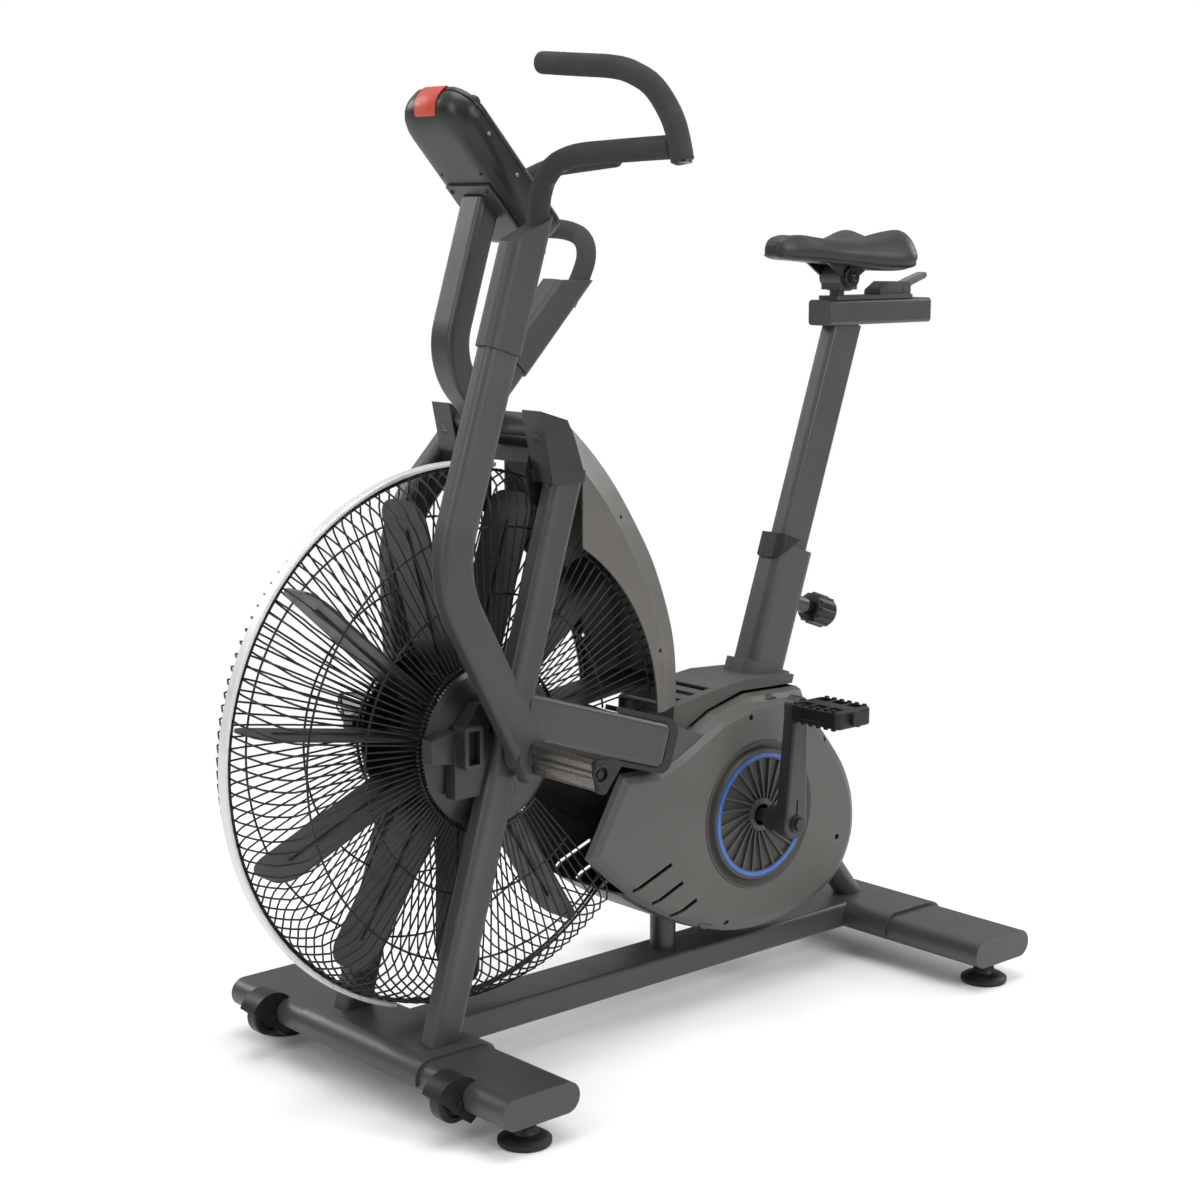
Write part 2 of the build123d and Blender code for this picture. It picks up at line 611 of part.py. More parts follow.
strut = tube((905, 0, 70), (662, 0, 372), STRUT_R, WALL)
strut = (strut - seat_bar(300, 700, SEATTUBE_D, SEATTUBE_T, 14) - rear_bracket
         - box(700, 1000, -60, 60, 0, BRACKET_TOP))
strut = one(strut - base - box(700, 1000, -60, 60, 0, BASE_TOP))
inner_frame = inner_frame - seat_bar(300, 700, SEATTUBE_D + 0.05, SEATTUBE_T + 0.05, 14)
column_room = tube((COLUMN_X, 0, BASE_TOP), (COLUMN_X, 0, 131), STRUT_R, WALL)
inner_frame = one(inner_frame - column_room - strut)
column = tube((COLUMN_X, 0, BASE_TOP), (COLUMN_X, 0, 130), STRUT_R, WALL)
save("inner_frame", inner_frame)
save("frame_struts", one(column - inner_frame), strut)

crank_bearings = [ring(CRANK_X, CRANK_Z, y0, y1, SPINDLE_R + 0.02, 20.0)
                  for y0, y1 in ((-48, -34), (32, 46))]
save("bearings", *fan_bearings, *crank_bearings)

# seat tube cap: skirt with a sloping lower edge and a hole for the post
cap = seat_bar(SEATTUBE_TOP - 46, SEATTUBE_TOP + 12, SEATTUBE_D + 7, SEATTUBE_T + 7, 16)
cap = cap - seat_bar(SEATTUBE_TOP - 60, SEATTUBE_TOP + 0.1, SEATTUBE_D + 0.4, SEATTUBE_T + 0.4, 14)
cap = cap - seat_bar(SEATTUBE_TOP - 60, SEATTUBE_TOP + 30, SEATPOST_D + 0.8, SEATPOST_T + 0.8, 7)
skirt_plane = Plane(origin=(seat_x(620) - 60, 0, 628), z_dir=Vector(0.5, 0, -1).normalized())
skirt_cut = skirt_plane * Pos(0, 0, 60) * Box(400, 200, 120)
save("seat_tube_cap", one(cap - skirt_cut - knob_rod(20, 80, 13)))

# -------------------------------------------------------------- drive belt
BELT_GAP = 2.5          # room left round the belt
DRIVE_RUN, DRIVE_RISE = CRANK_X - FAN_X, CRANK_Z - FAN_Z
DRIVE_ANGLE = math.atan2(DRIVE_RISE, DRIVE_RUN)
# angle from the pulley centre line to the tangent points
CONTACT = math.acos((SMALL_R - BIG_R) / math.hypot(DRIVE_RUN, DRIVE_RISE))


def belt_loop(growth):
    """Solid inside a loop lying growth outside the belt line."""
    def pulley_point(x, z, radius, angle):
        radius = radius + growth
        return (x + radius * math.cos(angle), PULLEY_Y0, z + radius * math.sin(angle))

    upper, lower = DRIVE_ANGLE + CONTACT, DRIVE_ANGLE - CONTACT
    fan_upper, fan_far, fan_lower = [pulley_point(FAN_X, FAN_Z, SMALL_R, angle)
                                     for angle in (upper, DRIVE_ANGLE + math.pi, lower)]
    crank_upper, crank_far, crank_lower = [pulley_point(CRANK_X, CRANK_Z, BIG_R, angle)
                                           for angle in (upper, DRIVE_ANGLE, lower)]
    outline = make_face([
        Line(fan_upper, crank_upper), ThreePointArc(crank_upper, crank_far, crank_lower),
        Line(crank_lower, fan_lower), ThreePointArc(fan_lower, fan_far, fan_upper)])
    return extrude(outline, amount=BELT_W, dir=(0, 1, 0))


save("drive_belt", one(belt_loop(BELT_T / 2) - belt_loop(-BELT_T / 2)))
belt_room = belt_loop(BELT_T / 2 + BELT_GAP)
belt_room = Pos(0, -BELT_GAP, 0) * belt_room + Pos(0, BELT_GAP, 0) * belt_room

# ----------------------------------------------------------- drive housing
# Two halves meet at the middle and wrap the crank drive.  Their outer
# edges roll over towards the sides.
HOUSING_Y = 88.0
HOUSING_WALL = 3.5
ROUND_LINE = [          # x, z of the curved edge, front to rear and up
    (303, 233), (341, 203), (398, 167), (457, 137), (518, 115), (560, 104), (602, 100),
    (644, 100), (688, 107), (732, 118), (767, 135), (793, 158), (810, 186), (819, 215),
    (820, 248), (812, 287), (792, 327), (760, 368), (730, 404), (709, 432), (700, 452),
]
TOP_LINE = [            # x, z of the straight edges, back to the front
    (590, 455), (520, 438), (440, 398), (400, 382), (330, 386), (262, 270),
]
EDGE_ROLL = [(24, 0), (13, 3), (5, 10), (0, 20)]    # depth below the side face, inset
SCREWS = [(581, 425), (770, 212), (536, 126), (742, 368)]       # x, z
SLOTS = [(352, 210, 424, 236), (390, 184, 446, 205), (429, 157, 474, 174)]  # x, z of both ends


def loop_inset(points, inset):
    """Closed outline moved inwards, corner by corner."""
    moved = []
    for k, (x, z) in enumerate(points):
        x_prev, z_prev = points[k - 1]
        x_next, z_next = points[(k + 1) % len(points)]
        before, after = math.hypot(x - x_prev, z - z_prev), math.hypot(x_next - x, z_next - z)
        normal_x = -(z - z_prev) / before - (z_next - z) / after
        normal_z = (x - x_prev) / before + (x_next - x) / after
        reach = inset * 2.0 / max(normal_x * normal_x + normal_z * normal_z, 0.9)
        moved.append((x + normal_x * reach, z + normal_z * reach))
    return moved


def housing_face(y, inset):
    points = [(x, y, z) for x, z in loop_inset(ROUND_LINE + TOP_LINE, inset)]
    curved = points[:len(ROUND_LINE)]
    straight = [curved[-1]] + points[len(ROUND_LINE):] + [curved[0]]
    return make_face([Spline(*curved)] + [Line(*ends) for ends in zip(straight, straight[1:])])


def housing_block(inset, y_out):
    """Left half from the middle out to y_out, with the rolled edge."""
    block = extrude(housing_face(0, inset), amount=y_out - EDGE_ROLL[0][0], dir=(0, -1, 0))
    for (depth0, inset0), (depth1, inset1) in zip(EDGE_ROLL, EDGE_ROLL[1:]):
        block = block + loft([housing_face(-(y_out - depth0), inset + inset0),
                              housing_face(-(y_out - depth1), inset + inset1)], ruled=True)
    return block


def stadium(length, height, corner, half):
    """Block along +X with the corners of its far end rounded."""
    flat, top = length - corner, height / 2
    bulge = corner * math.sqrt(0.5)
    outline = make_face([
        Line((0, 0, -top), (0, 0, top)),
        Line((0, 0, top), (flat, 0, top)),
        ThreePointArc((flat, 0, top), (flat + bulge, 0, top - corner + bulge),
                      (length, 0, top - corner)),
        Line((length, 0, top - corner), (length, 0, corner - top)),
        ThreePointArc((length, 0, corner - top), (flat + bulge, 0, corner - top - bulge),
                      (flat, 0, -top)),
        Line((flat, 0, -top), (0, 0, -top))])
    return Pos(0, -half, 0) * extrude(outline, amount=2 * half, dir=(0, 1, 0))


cage_room = fan_rod(-77.0, 77.0, 343)


def left_housing():
    shell = housing_block(0, HOUSING_Y) - housing_block(HOUSING_WALL, HOUSING_Y - HOUSING_WALL)
    shell = shell - cage_room
    shell = shell - crank_rod(-200, 0, 110.3)
    shell = shell - at_stay(-1, 108, stadium(STAY_L + 18, 80, 22, 30))
    for x0, z0, x1, z1 in SLOTS:
        slope = -math.degrees(math.atan2(z1 - z0, x1 - x0))
        length = math.hypot(x1 - x0, z1 - z0)
        shell = shell - (Pos((x0 + x1) / 2, -95, (z0 + z1) / 2) * Rot(0, slope, 0)
                         * Box(length, 50, 6))
    for x, z in SCREWS:
        shell = shell - cross_rod(x, z, -130, -60, 4.2)
    # room for the seat tube, column and strut
    shell = shell - seat_bar(400, 700, SEATTUBE_D + 1, SEATTUBE_T + 1, 14)
    shell = (shell - rod((COLUMN_X, 0, 70), (COLUMN_X, 0, 160), STRUT_R + 0.6)
             - rod((905, 0, 70), (640, 0, 399), STRUT_R + 0.6))
    shell = shell - box(430, 700, -60, 0.1, 420, 480)
    # slots for the inner frame plate and its two tie bars
    shell = shell - prism(PLATE_OUTLINE, -PLATE_Y - 2.3, -PLATE_Y + 2.3)
    shell = (shell - cross_rod(*LOWER_TIE, -PLATE_Y - 2.3, 0.1, 15.2)
             - cross_rod(*UPPER_TIE, -PLATE_Y - 2.3, 0.1, 13.2))
    return one(shell)


housing_left = left_housing()
save("housing_left", housing_left)
save("housing_right", one(mirror_y(housing_left) - belt_room))

# top cover: raised spine between the halves, with vents and a seat tube collar
TOP_Y = 58.0
TOP_OUTER = [           # x, z
    (447, 403.5), (520, 440), (590, 458.5), (698, 455.5), (702, 468), (600, 474),
    (560, 470), (458, 455), (447, 448),
]
TOP_INNER = [
    (430, 398), (445, 407), (519, 444), (590, 462), (740, 458), (740, 464), (600, 470),
    (560, 466), (458, 451), (430, 444),
]
top = prism(TOP_OUTER, -TOP_Y, TOP_Y) - prism(TOP_INNER, -TOP_Y + 3, TOP_Y - 3)
top = top - cage_room
for x in (478, 506, 534):
    top = top - Pos(x, 0, 456 + (x - 458) * 0.146) * Rot(0, -8.3, 0) * Box(13, 84, 14)
top = top + seat_bar(452, 478, SEATTUBE_D + 20, SEATTUBE_T + 20, 22)
top = top - seat_bar(380, 700, SEATTUBE_D + 0.6, SEATTUBE_T + 0.6, 14.3)
top = one(top - box(600, 740, -100, 100, 400, 452.8))
save("housing_top", one(top - belt_room))

# lining of the recess round each stay end
liner = (stadium(STAY_L + 17, 78, 21.5, 11) - stadium(STAY_L + 0.6, 63.6, 14.8, 12)
         - Pos(STAY_L - 260, 0, 0) * Box(300, 60, 200))
save("stay_liners", *[one(at_stay(side, 93.5, liner)) for side in SIDES])

# -------------------------------------------------- fender behind the cage
# Hollow hood over the rear upper rim: a flat outer band with sloping sides.
FENDER_LINE = [         # x, z of the outer edge, top to bottom
    (262, 860), (302, 822), (342, 775), (377, 724), (408, 672), (433, 613), (450, 555),
    (456, 500), (456, 457.5),
]
FENDER_Y0, FENDER_Y1 = 60.0, 82.0       # half widths of the band and of the hood
FENDER_IN = 290.0                       # inner radius about the fan


def fender_face(y, inset, inner_radius, z_low):
    """Outline at y: outer edge moved inwards, inner edge at inner_radius."""
    outer = []
    for x, z in FENDER_LINE:
        radius = math.hypot(x - FAN_X, z - FAN_Z)
        scale_in = (radius - inset) / radius
        outer.append((FAN_X + (x - FAN_X) * scale_in, y, FAN_Z + (z - FAN_Z) * scale_in))
    outer[-1] = (outer[-1][0], y, z_low)
    high = math.atan2(outer[0][2] - FAN_Z, outer[0][0] - FAN_X)
    low = math.asin((z_low - FAN_Z) / inner_radius)
    inner = [fan_point(inner_radius, angle, y) for angle in (low, (low + high) / 2, high)]
    return make_face([Spline(*outer), Line(outer[-1], inner[0]), ThreePointArc(*inner),
                      Line(inner[2], outer[0])])


def fender_block(half_band, half_hood, band_inset, side_inset, inner_radius, z_low):
    band = fender_face(-half_band, band_inset, inner_radius, z_low)
    block = extrude(band, amount=2 * half_band, dir=(0, 1, 0))
    for side in SIDES:
        block = block + loft([fender_face(side * half_band, band_inset, inner_radius, z_low),
                              fender_face(side * half_hood, side_inset, inner_radius, z_low)],
                             ruled=True)
    return block


fender = fender_block(FENDER_Y0, FENDER_Y1, 0, 42, FENDER_IN, 457.5)
fender = fender - fender_block(FENDER_Y0 - 3, FENDER_Y1 - 3, 3.2, 45, FENDER_IN - 30, 440)
fender = fender - fan_rod(-FENDER_Y1 + 3, FENDER_Y1 - 3, FENDER_IN + 2)
for side in SIDES:
    for x, z in ((338, 737), (405, 545)):
        fender = fender - cross_rod(x, z, *span(side, 40, 100), 3.0)
save("fender", one(fender - box(100, 262, -120, 120, 500, 900)))

# ------------------------------------------------------------- disc covers
DISC_PROFILE = [        # radius, distance from the middle
    (16, 93.5), (24, 93.5), (26, 88), (83, 88), (83.5, 92.5), (85.6, 92.5), (85.6, 90.5),
    (91.4, 90.5), (91.4, 92.5), (96, 92.5), (99, 86), (108, 89.5), (110, 89), (110, 83),
    (99, 82.5), (94, 87.5), (84, 84.5), (28, 84.5), (23, 90), (16, 90),
]
N_FINS = 24
FIN_STATIONS = [        # radius, angle of one edge, angular width (radians)
    (25, 0, 0.10), (54, 0.22, 0.06), (83.3, 0.3, 0.045),
]


def disc_cover(side):
    """Dished disc with curved fins on its outer face."""
    edges = [ThreePointArc(*[(CRANK_X + radius * math.cos(angle + share * width), 0,
                              CRANK_Z + radius * math.sin(angle + share * width))
                             for radius, angle, width in FIN_STATIONS]) for share in (0, 1)]
    outline = make_face([edges[0], Line(edges[0] @ 1, edges[1] @ 1), edges[1],
                         Line(edges[0] @ 0, edges[1] @ 0)])
    y0, y1 = span(side, 87.5, 91.8)
    fin = Pos(0, y0, 0) * extrude(outline, amount=y1 - y0, dir=(0, 1, 0))
    fins = [turn_about(CRANK_X, CRANK_Z, 360 / N_FINS * k) * fin for k in range(N_FINS)]
    return one(turned(CRANK_X, CRANK_Z, side, DISC_PROFILE) + fins)


save("disc_covers", *[disc_cover(side) for side in SIDES])
save("accent_rings", *[ring(CRANK_X, CRANK_Z, *span(side, 90.5, 92.9), 85.65, 91.35)
                       for side in SIDES])

# ------------------------------------------ spindle, pulley, cranks, pedals
CRANK_Y0, CRANK_Y1 = 140.0, 161.0       # inner and outer face of each crank
BOLT_R = 4.0
PEDAL_AXLE_R = 7.0

spindle = crank_rod(-158, 158, SPINDLE_R)
bolts = []
for side in SIDES:
    bolt = crank_rod(*span(side, 161.2, 164), 13)
    bolt = bolt + cross_hex(CRANK_X, CRANK_Z, *span(side, 164, 170), 9.5)
    bolt = bolt + crank_rod(*span(side, 140, 164.5), BOLT_R)
    spindle = spindle - crank_rod(*span(side, 140, 164.5), BOLT_R + 0.01)
    bolts.append(one(bolt))
save("crank_spindle", one(spindle), *bolts)

pulley = ring(CRANK_X, CRANK_Z, PULLEY_Y0 - 1, PULLEY_Y1 + 1, 88, BIG_R - BELT_T / 2 - 0.15)
pulley = pulley + ring(CRANK_X, CRANK_Z, BELT_Y - 2.5, BELT_Y + 2.5, 24, 90)
pulley = pulley + ring(CRANK_X, CRANK_Z, 47, 66, SPINDLE_R + 0.01, 26)
for k in range(6):
    angle = math.radians(60 * k + 10)
    pulley = pulley - cross_rod(CRANK_X + 57 * math.cos(angle), CRANK_Z + 57 * math.sin(angle),
                                40, 70, 17)
save("drive_pulley", one(pulley))


def crank_arm(side, degrees, end_x, end_z):
    """Tapered arm from the spindle to the pedal axle at (end_x, end_z)."""
    across_x, across_z = math.cos(math.radians(degrees)), -math.sin(math.radians(degrees))
    y0, y1 = span(side, CRANK_Y0, CRANK_Y1)
    arm = prism([(CRANK_X + across_x * 21, CRANK_Z + across_z * 21),
                 (end_x + across_x * 14, end_z + across_z * 14),
                 (end_x - across_x * 14, end_z - across_z * 14),
                 (CRANK_X - across_x * 21, CRANK_Z - across_z * 21)], y0, y1)
    arm = arm + crank_rod(y0, y1, 23) + cross_rod(end_x, end_z, y0, y1, 15.5)
    arm = safe_fillet(arm, [edge for edge in arm.edges()
                            if abs(abs(edge.center().Y) - CRANK_Y1) < 0.2], 4)
    # boss towards the frame, and the pinch slot beside the spindle
    arm = arm + crank_rod(*span(side, 112.0, 141.0), 19)
    arm = arm - crank_rod(-200, 200, SPINDLE_R + 0.01)
    slot = box(-1.5, 1.5, side * 150 - 20, side * 150 + 20, 8, 34)
    arm = arm - Pos(CRANK_X, 0, CRANK_Z) * Rot(0, degrees, 0) * slot
    return one(arm - cross_rod(end_x, end_z, *span(side, CRANK_Y0 - 1, CRANK_Y1 + 1),
                               PEDAL_AXLE_R + 0.01))


def pedal_axle(side, x, z):
    """Axle with a flange against the crank."""
    axle = cross_rod(x, z, *span(side, 142.0, 264.0), PEDAL_AXLE_R)
    return one(axle + cross_rod(x, z, *span(side, 161.05, 165.0), 10))


def pedal(side, x, z):
    y0, y1 = span(side, 167.0, 262.0)
    y_mid = (y0 + y1) / 2
    body = box(x - 35, x + 35, y0, y1, z - 13, z + 13)
    body = safe_fillet(body, body.edges().filter_by(Axis.Z), 9)
    body = safe_fillet(body, body.edges().filter_by(Axis.Y), 4)
    # open windows through the cage, leaving rails and the centre barrel
    for end in (-1, 1):
        for k in range(3):
            x_mid, y = x + end * 20, y0 + 20 + k * 27.5
            body = body - box(x_mid - 8.5, x_mid + 8.5, y - 11, y + 11, z - 20, z + 20)
    # grip teeth, and a recess in the front and rear face
    for end in (-1, 1):
        for k in range(6):
            x_mid, y = x + end * 32, y0 + 12 + k * 14.2
            body = body + box(x_mid - 2, x_mid + 2, y - 3, y + 3, z - 15, z + 15)
        x_mid = x + end * 36
        body = body - box(x_mid - 2.5, x_mid + 2.5, y_mid - 26, y_mid + 26, z - 6, z + 6)
    body = body - cross_rod(x, z, y0 - 5, y1 + 5, PEDAL_AXLE_R + 0.06)
    end_cap = (cross_rod(x, z, *span(side, 264.2, 268.0), 11)
               + ring(x, z, *span(side, 261.5, 264.3), 9, 11))
    return one(body + end_cap)


for side, degrees in ((-1, CRANK_LEAN), (1, CRANK_LEAN + 180)):
    end_x = CRANK_X + CRANK_L * math.sin(math.radians(degrees))
    end_z = CRANK_Z + CRANK_L * math.cos(math.radians(degrees))
    save("crank_" + SIDE_NAMES[side], crank_arm(side, degrees, end_x, end_z),
         pedal_axle(side, end_x, end_z))
    save("pedal_" + SIDE_NAMES[side], pedal(side, end_x, end_z))

# ----------------------------------------------------------- swinging arms
# Drawn on the left; the right one is its mirror image, swung to the rear.
ARM_Y = 132.0
ARM_T, ARM_D = 32.0, 52.0
ARM_SWING = 26.4        # degrees
ARM_TOP = 1086.0
SLEEVE_Z0 = 972.0
HANDLE_R, GRIP_R = 11.1, 14.0
SLEEVE_SLOPE = [(60, 1098), (104, 1112), (162, 1140), (200, 1160)]  # x, z of its top edge
HANDLE_LINE = [         # x, y, z of the bent steel tube, from the arm upwards
    (141.5, -ARM_Y, 1092), (145.5, -ARM_Y, 1160), (145, -158, 1196), (144.5, -214, 1212),
    (144, -366, 1216),
]
GRIP_LINE = [           # x, y, z of the curved grip, from its outer end inwards
    (145, -391, 1197), (144, -376, 1245), (142, -346, 1284), (142, -310, 1303),
    (141.5, -274, 1312), (141, -210, 1318), (141, -142, 1324),
]


def arm_upper(z):
    return (118.0 + 0.315 * (z - 1100.0), -ARM_Y, z)


def arm_lower(z):
    return (41.5 + 0.545 * (602.0 - z), -ARM_Y, z)


pivot_hole = cross_rod(PIVOT_X, PIVOT_Z, -ARM_Y - 40, -ARM_Y + 40, PIVOT_R + 0.06)
arm = rect_bar([arm_lower(428), (-9.4, -ARM_Y, 695.5), arm_upper(ARM_TOP)],
               ARM_D, ARM_T, 11, WALL, bend=150)
arm = arm + cross_rod(PIVOT_X, PIVOT_Z, -ARM_Y - ARM_T / 2, -ARM_Y + ARM_T / 2, 25)
arm = arm - pivot_hole
arm = arm - cross_rod(arm_lower(396)[0], 396, -300, 300, 12)
# plug in the lower end
arm_plug = rect_bar([arm_lower(431), arm_lower(428)], ARM_D - 4, ARM_T - 4, 9)
arm = one(arm + arm_plug - pivot_hole)

# sleeve round the top of the arm, top cut on a slope
sleeve = (rect_bar([arm_upper(SLEEVE_Z0), arm_upper(1150)], ARM_D + 6, ARM_T + 6, 13)
          - rect_bar([arm_upper(SLEEVE_Z0 - 5), arm_upper(1090)], ARM_D + 0.1, ARM_T + 0.1, 11))
sleeve = sleeve - prism(SLEEVE_SLOPE + [(200, 1220), (60, 1220)], -200, 0)
sleeve = safe_fillet(sleeve, sleeve.edges().sort_by(Axis.Z)[-8:], 4)

# steel handle inside its foam grip
handle_path = FilletPolyline(*[Vector(*point) for point in HANDLE_LINE], radius=26)
grip_path = Spline(*GRIP_LINE)
handle_link = rod(HANDLE_LINE[-1], (144.3, -384.0, 1216.4), HANDLE_R)
handle = pipe(handle_path, HANDLE_R) + pipe(grip_path, HANDLE_R) + handle_link
grip = pipe(handle_path, GRIP_R) + rod(HANDLE_LINE[-1], (144.2, -376, 1216.2), GRIP_R)
grip = (grip + pipe(grip_path, GRIP_R)) - handle
grip = grip - prism(SLEEVE_SLOPE + [(200, 1000), (60, 1000)], -200, 0)
grip = one(grip - handle)
handle = one(handle)
sleeve = one(sleeve - pipe(handle_path, HANDLE_R + 0.05) - grip)
handle = one(handle - arm)
for name, shape in (("arm", arm), ("sleeve", sleeve), ("handle", handle), ("grip", grip)):
    save(name + "_left", shape)
    save(name + "_right", turn_about(PIVOT_X, PIVOT_Z, ARM_SWING) * mirror_y(shape))


# ------------------------------------------- foot pegs on the pivot stubs
def pivot_prism(offsets, y0, y1):
    """Outline given as (x, z) from the pivot."""
    return prism([(PIVOT_X + x, PIVOT_Z + z) for x, z in offsets], y0, y1)


def pivot_rod(y0, y1, radius):
    return cross_rod(PIVOT_X, PIVOT_Z, y0, y1, radius)


def foot_peg(side):
    """Hollow rounded triangle, open at its outer end."""
    y0, y1 = span(side, PEG_Y0 + 0.05, PEG_Y1)
    peg = pivot_prism([(-10, 20), (38, 13), (-1, -34)], y0, y1)
    peg = safe_fillet(peg, peg.edges().filter_by(Axis.Y), 7)
    peg = peg - pivot_prism([(-5.5, 15.5), (29, 10.5), (-1.5, -25)],
                            *span(side, PEG_Y0 + 5, PEG_Y1 + 1))
    return one(peg + pivot_rod(y0, y1, 9) - pivot_rod(y0 - 1, y1 + 1, 5.5))


def peg_cap(side):
    cap = pivot_prism([(-11.5, 21), (41, 13.5), (-1, -36.5)],
                      *span(side, PEG_Y1 + 0.05, PEG_Y1 + 8))
    cap = safe_fillet(cap, cap.edges().filter_by(Axis.Y), 8)
    cap = cap - pivot_rod(*span(side, PEG_Y1 + 4, PEG_Y1 + 9), 9.5)
    return one(cap + pivot_rod(*span(side, PEG_Y1 - 60, PEG_Y1 + 7), 5.4))


save("pegs", *[foot_peg(side) for side in SIDES])
save("peg_caps", *[peg_cap(side) for side in SIDES])

# --------------------------------------------------- seat post and slider
RAIL_Z0, RAIL_Z1 = 979.0, 1017.0
RAIL_X0, RAIL_X1 = 812.0, 1040.0
RAIL_T = 44.0
STEM_X = 846.0
BOLT_X, BOLT_Z = 851.0, 1051.0          # cross bolt under the saddle
LEVER_X, LEVER_Z = 984.0, 1030.5
PIN_HOLES, PIN_PITCH = 9, 25.0

post = seat_bar(480, 985, SEATPOST_D, SEATPOST_T, 7)
post = post - seat_bar(479, 990, SEATPOST_D - 6, SEATPOST_T - 6, 5)
post = one(post - box(700, 1100, -50, 50, RAIL_Z0, 1100))
for k in range(PIN_HOLES):
    hole_plane = Plane(origin=KNOB_CENTRE + SEAT_DIR * (PIN_PITCH * (k - 2.0)), z_dir=KNOB_DIR)
    post = post - hole_plane * (Pos(0, 0, 20) * Cylinder(6.3, 20, align=UPWARD))
save("seat_post", one(post))

rail = box(RAIL_X0, RAIL_X1, -RAIL_T / 2, RAIL_T / 2, RAIL_Z0, RAIL_Z1)
rail = fillet(rail.edges().filter_by(Axis.X), 6)
rail = rail - box(RAIL_X0 + 4, RAIL_X1 + 5, -RAIL_T / 2 + 3, RAIL_T / 2 - 3,
                  RAIL_Z0 + 3, RAIL_Z1 - 3)
rail = rail - box(RAIL_X0 + 22, RAIL_X1 - 20, -6.2, 6.2, RAIL_Z1 - 5, RAIL_Z1 + 5)
rail_plug = box(RAIL_X0 - 4, RAIL_X0, -RAIL_T / 2, RAIL_T / 2, RAIL_Z0, RAIL_Z1)
rail_plug = fillet(rail_plug.edges().filter_by(Axis.X), 6)
save("slider_rail", one(rail), one(rail_plug))

# carriage: plate on the rail, keel and foot in its slot, stem, clamp body
slide = box(826, 1000, -21, 21, RAIL_Z1 + 0.1, RAIL_Z1 + 6)
slide = fillet(slide.edges().filter_by(Axis.Z), 5)
keel = box(846, 984, -6.1, 6.1, RAIL_Z1 - 6, RAIL_Z1 + 1)
keel_foot = box(850, 980, -14, 14, RAIL_Z1 - 9, RAIL_Z1 - 3.2)
stem = rod((STEM_X, 0, RAIL_Z1 + 3), (STEM_X, 0, 1040), 11)
clamp = (cross_rod(BOLT_X, BOLT_Z, -19, 19, 21)
         + box(BOLT_X - 19, BOLT_X + 19, -19, 19, BOLT_Z - 19, BOLT_Z))
block = prism([(926, RAIL_Z1 + 4), (926, 1030), (948, 1043), (998, 1042), (998, RAIL_Z1 + 4)],
              -16, 16)
block = safe_fillet(block, block.edges().filter_by(Axis.Y).sort_by(Axis.Z)[-3:], 4)
carriage = slide + keel + keel_foot + stem + clamp + block
# bore for the cross bolt, slot and pin hole for the lever
carriage = carriage - cross_rod(BOLT_X, BOLT_Z, -60, 60, 6.06)
carriage = (carriage - box(960, 1010, -8.1, 8.1, RAIL_Z1 + 5.5, 1060)
            - cross_rod(LEVER_X, LEVER_Z, -40, 40, 4.01))
save("seat_carriage", one(carriage), cross_rod(LEVER_X, LEVER_Z, -17, 17, 4.0))

lever = cross_rod(LEVER_X, LEVER_Z, -8, 8, 7.5)
lever = lever + prism([(978, 1034), (984, 1038.5), (1010, 1047), (1042, 1056), (1046, 1052),
                       (1043, 1047), (1012, 1037), (990, 1027)], -8, 8)
save("cam_lever", one(lever - cross_rod(LEVER_X, LEVER_Z, -20, 20, 4.06)))

# saddle bracket: cross bolt, two side plates with nuts, top plate
saddle_bracket = cross_rod(BOLT_X, BOLT_Z, -33, 33, 6.0)
for side in SIDES:
    y0, y1 = span(side, 19.2, 23.0)
    side_plate = cross_rod(BOLT_X, BOLT_Z, y0, y1, 17.5) + prism(
        [(BOLT_X - 17, BOLT_Z), (BOLT_X + 17, BOLT_Z), (905, 1073), (905, 1076.5),
         (800, 1076.5), (800, 1073)], y0, y1)
    nut = cross_hex(BOLT_X, BOLT_Z, *span(side, 23.0, 30.0), 10.5)
    saddle_bracket = saddle_bracket + side_plate + nut
save("saddle_bracket", one(saddle_bracket + box(800, 905, -23, 23, 1073.4, 1076.4)))

# ------------------------------------------------------------------ saddle
SADDLE_STATIONS = [     # x, half width, z of: centre top, lobe top, wing edge, bottom
    (703, 11, 1100, 1100, 1092, 1085),
    (712, 21, 1107, 1107, 1094, 1080),
    (748, 29, 1113, 1113, 1093, 1075),
    (790, 34, 1109, 1109, 1091, 1072),
    (829, 44, 1105, 1106, 1088, 1068),
    (865, 62, 1103, 1112, 1085, 1063),
    (900, 80, 1104, 1120, 1083, 1060),
    (924, 84, 1102, 1121, 1084, 1061),
    (943, 76, 1098, 1114, 1085, 1068),
    (953, 50, 1092, 1102, 1086, 1077),
]


def saddle_face(x, half, centre, lobe, edge, bottom):
    right = [(0, centre), (0.30 * half, (centre + lobe * 2) / 3), (0.62 * half, lobe),
             (0.88 * half, edge + (lobe - edge) * 0.66), (half, edge),
             (0.93 * half, bottom + 3), (0.70 * half, bottom), (0, bottom)]
    outline = right + [(-y, z) for y, z in reversed(right[1:-1])]
    return make_face(Spline(*[(x, y, z) for y, z in outline], periodic=True))


saddle = loft([saddle_face(*station) for station in SADDLE_STATIONS])
save("saddle", one(saddle - box(780, 925, -36, 36, 1030, 1077.0)))

# ------------------------------------------- pop pin with its ribbed knob
knob = knob_rod(76, 46, 22.5)
knob = safe_fillet(knob, knob.edges().filter_by(GeomType.CIRCLE), 5)
knob = knob + knob_rod(71, 6, 12) + knob_rod(24, 60, 6.0)
for k in range(12):
    rib = Rot(0, 0, 30 * k) * Pos(22.0, 0, 82) * Cylinder(2.8, 34, align=UPWARD)
    knob = knob + KNOB_PLANE * rib
save("pin_knob", one(knob))
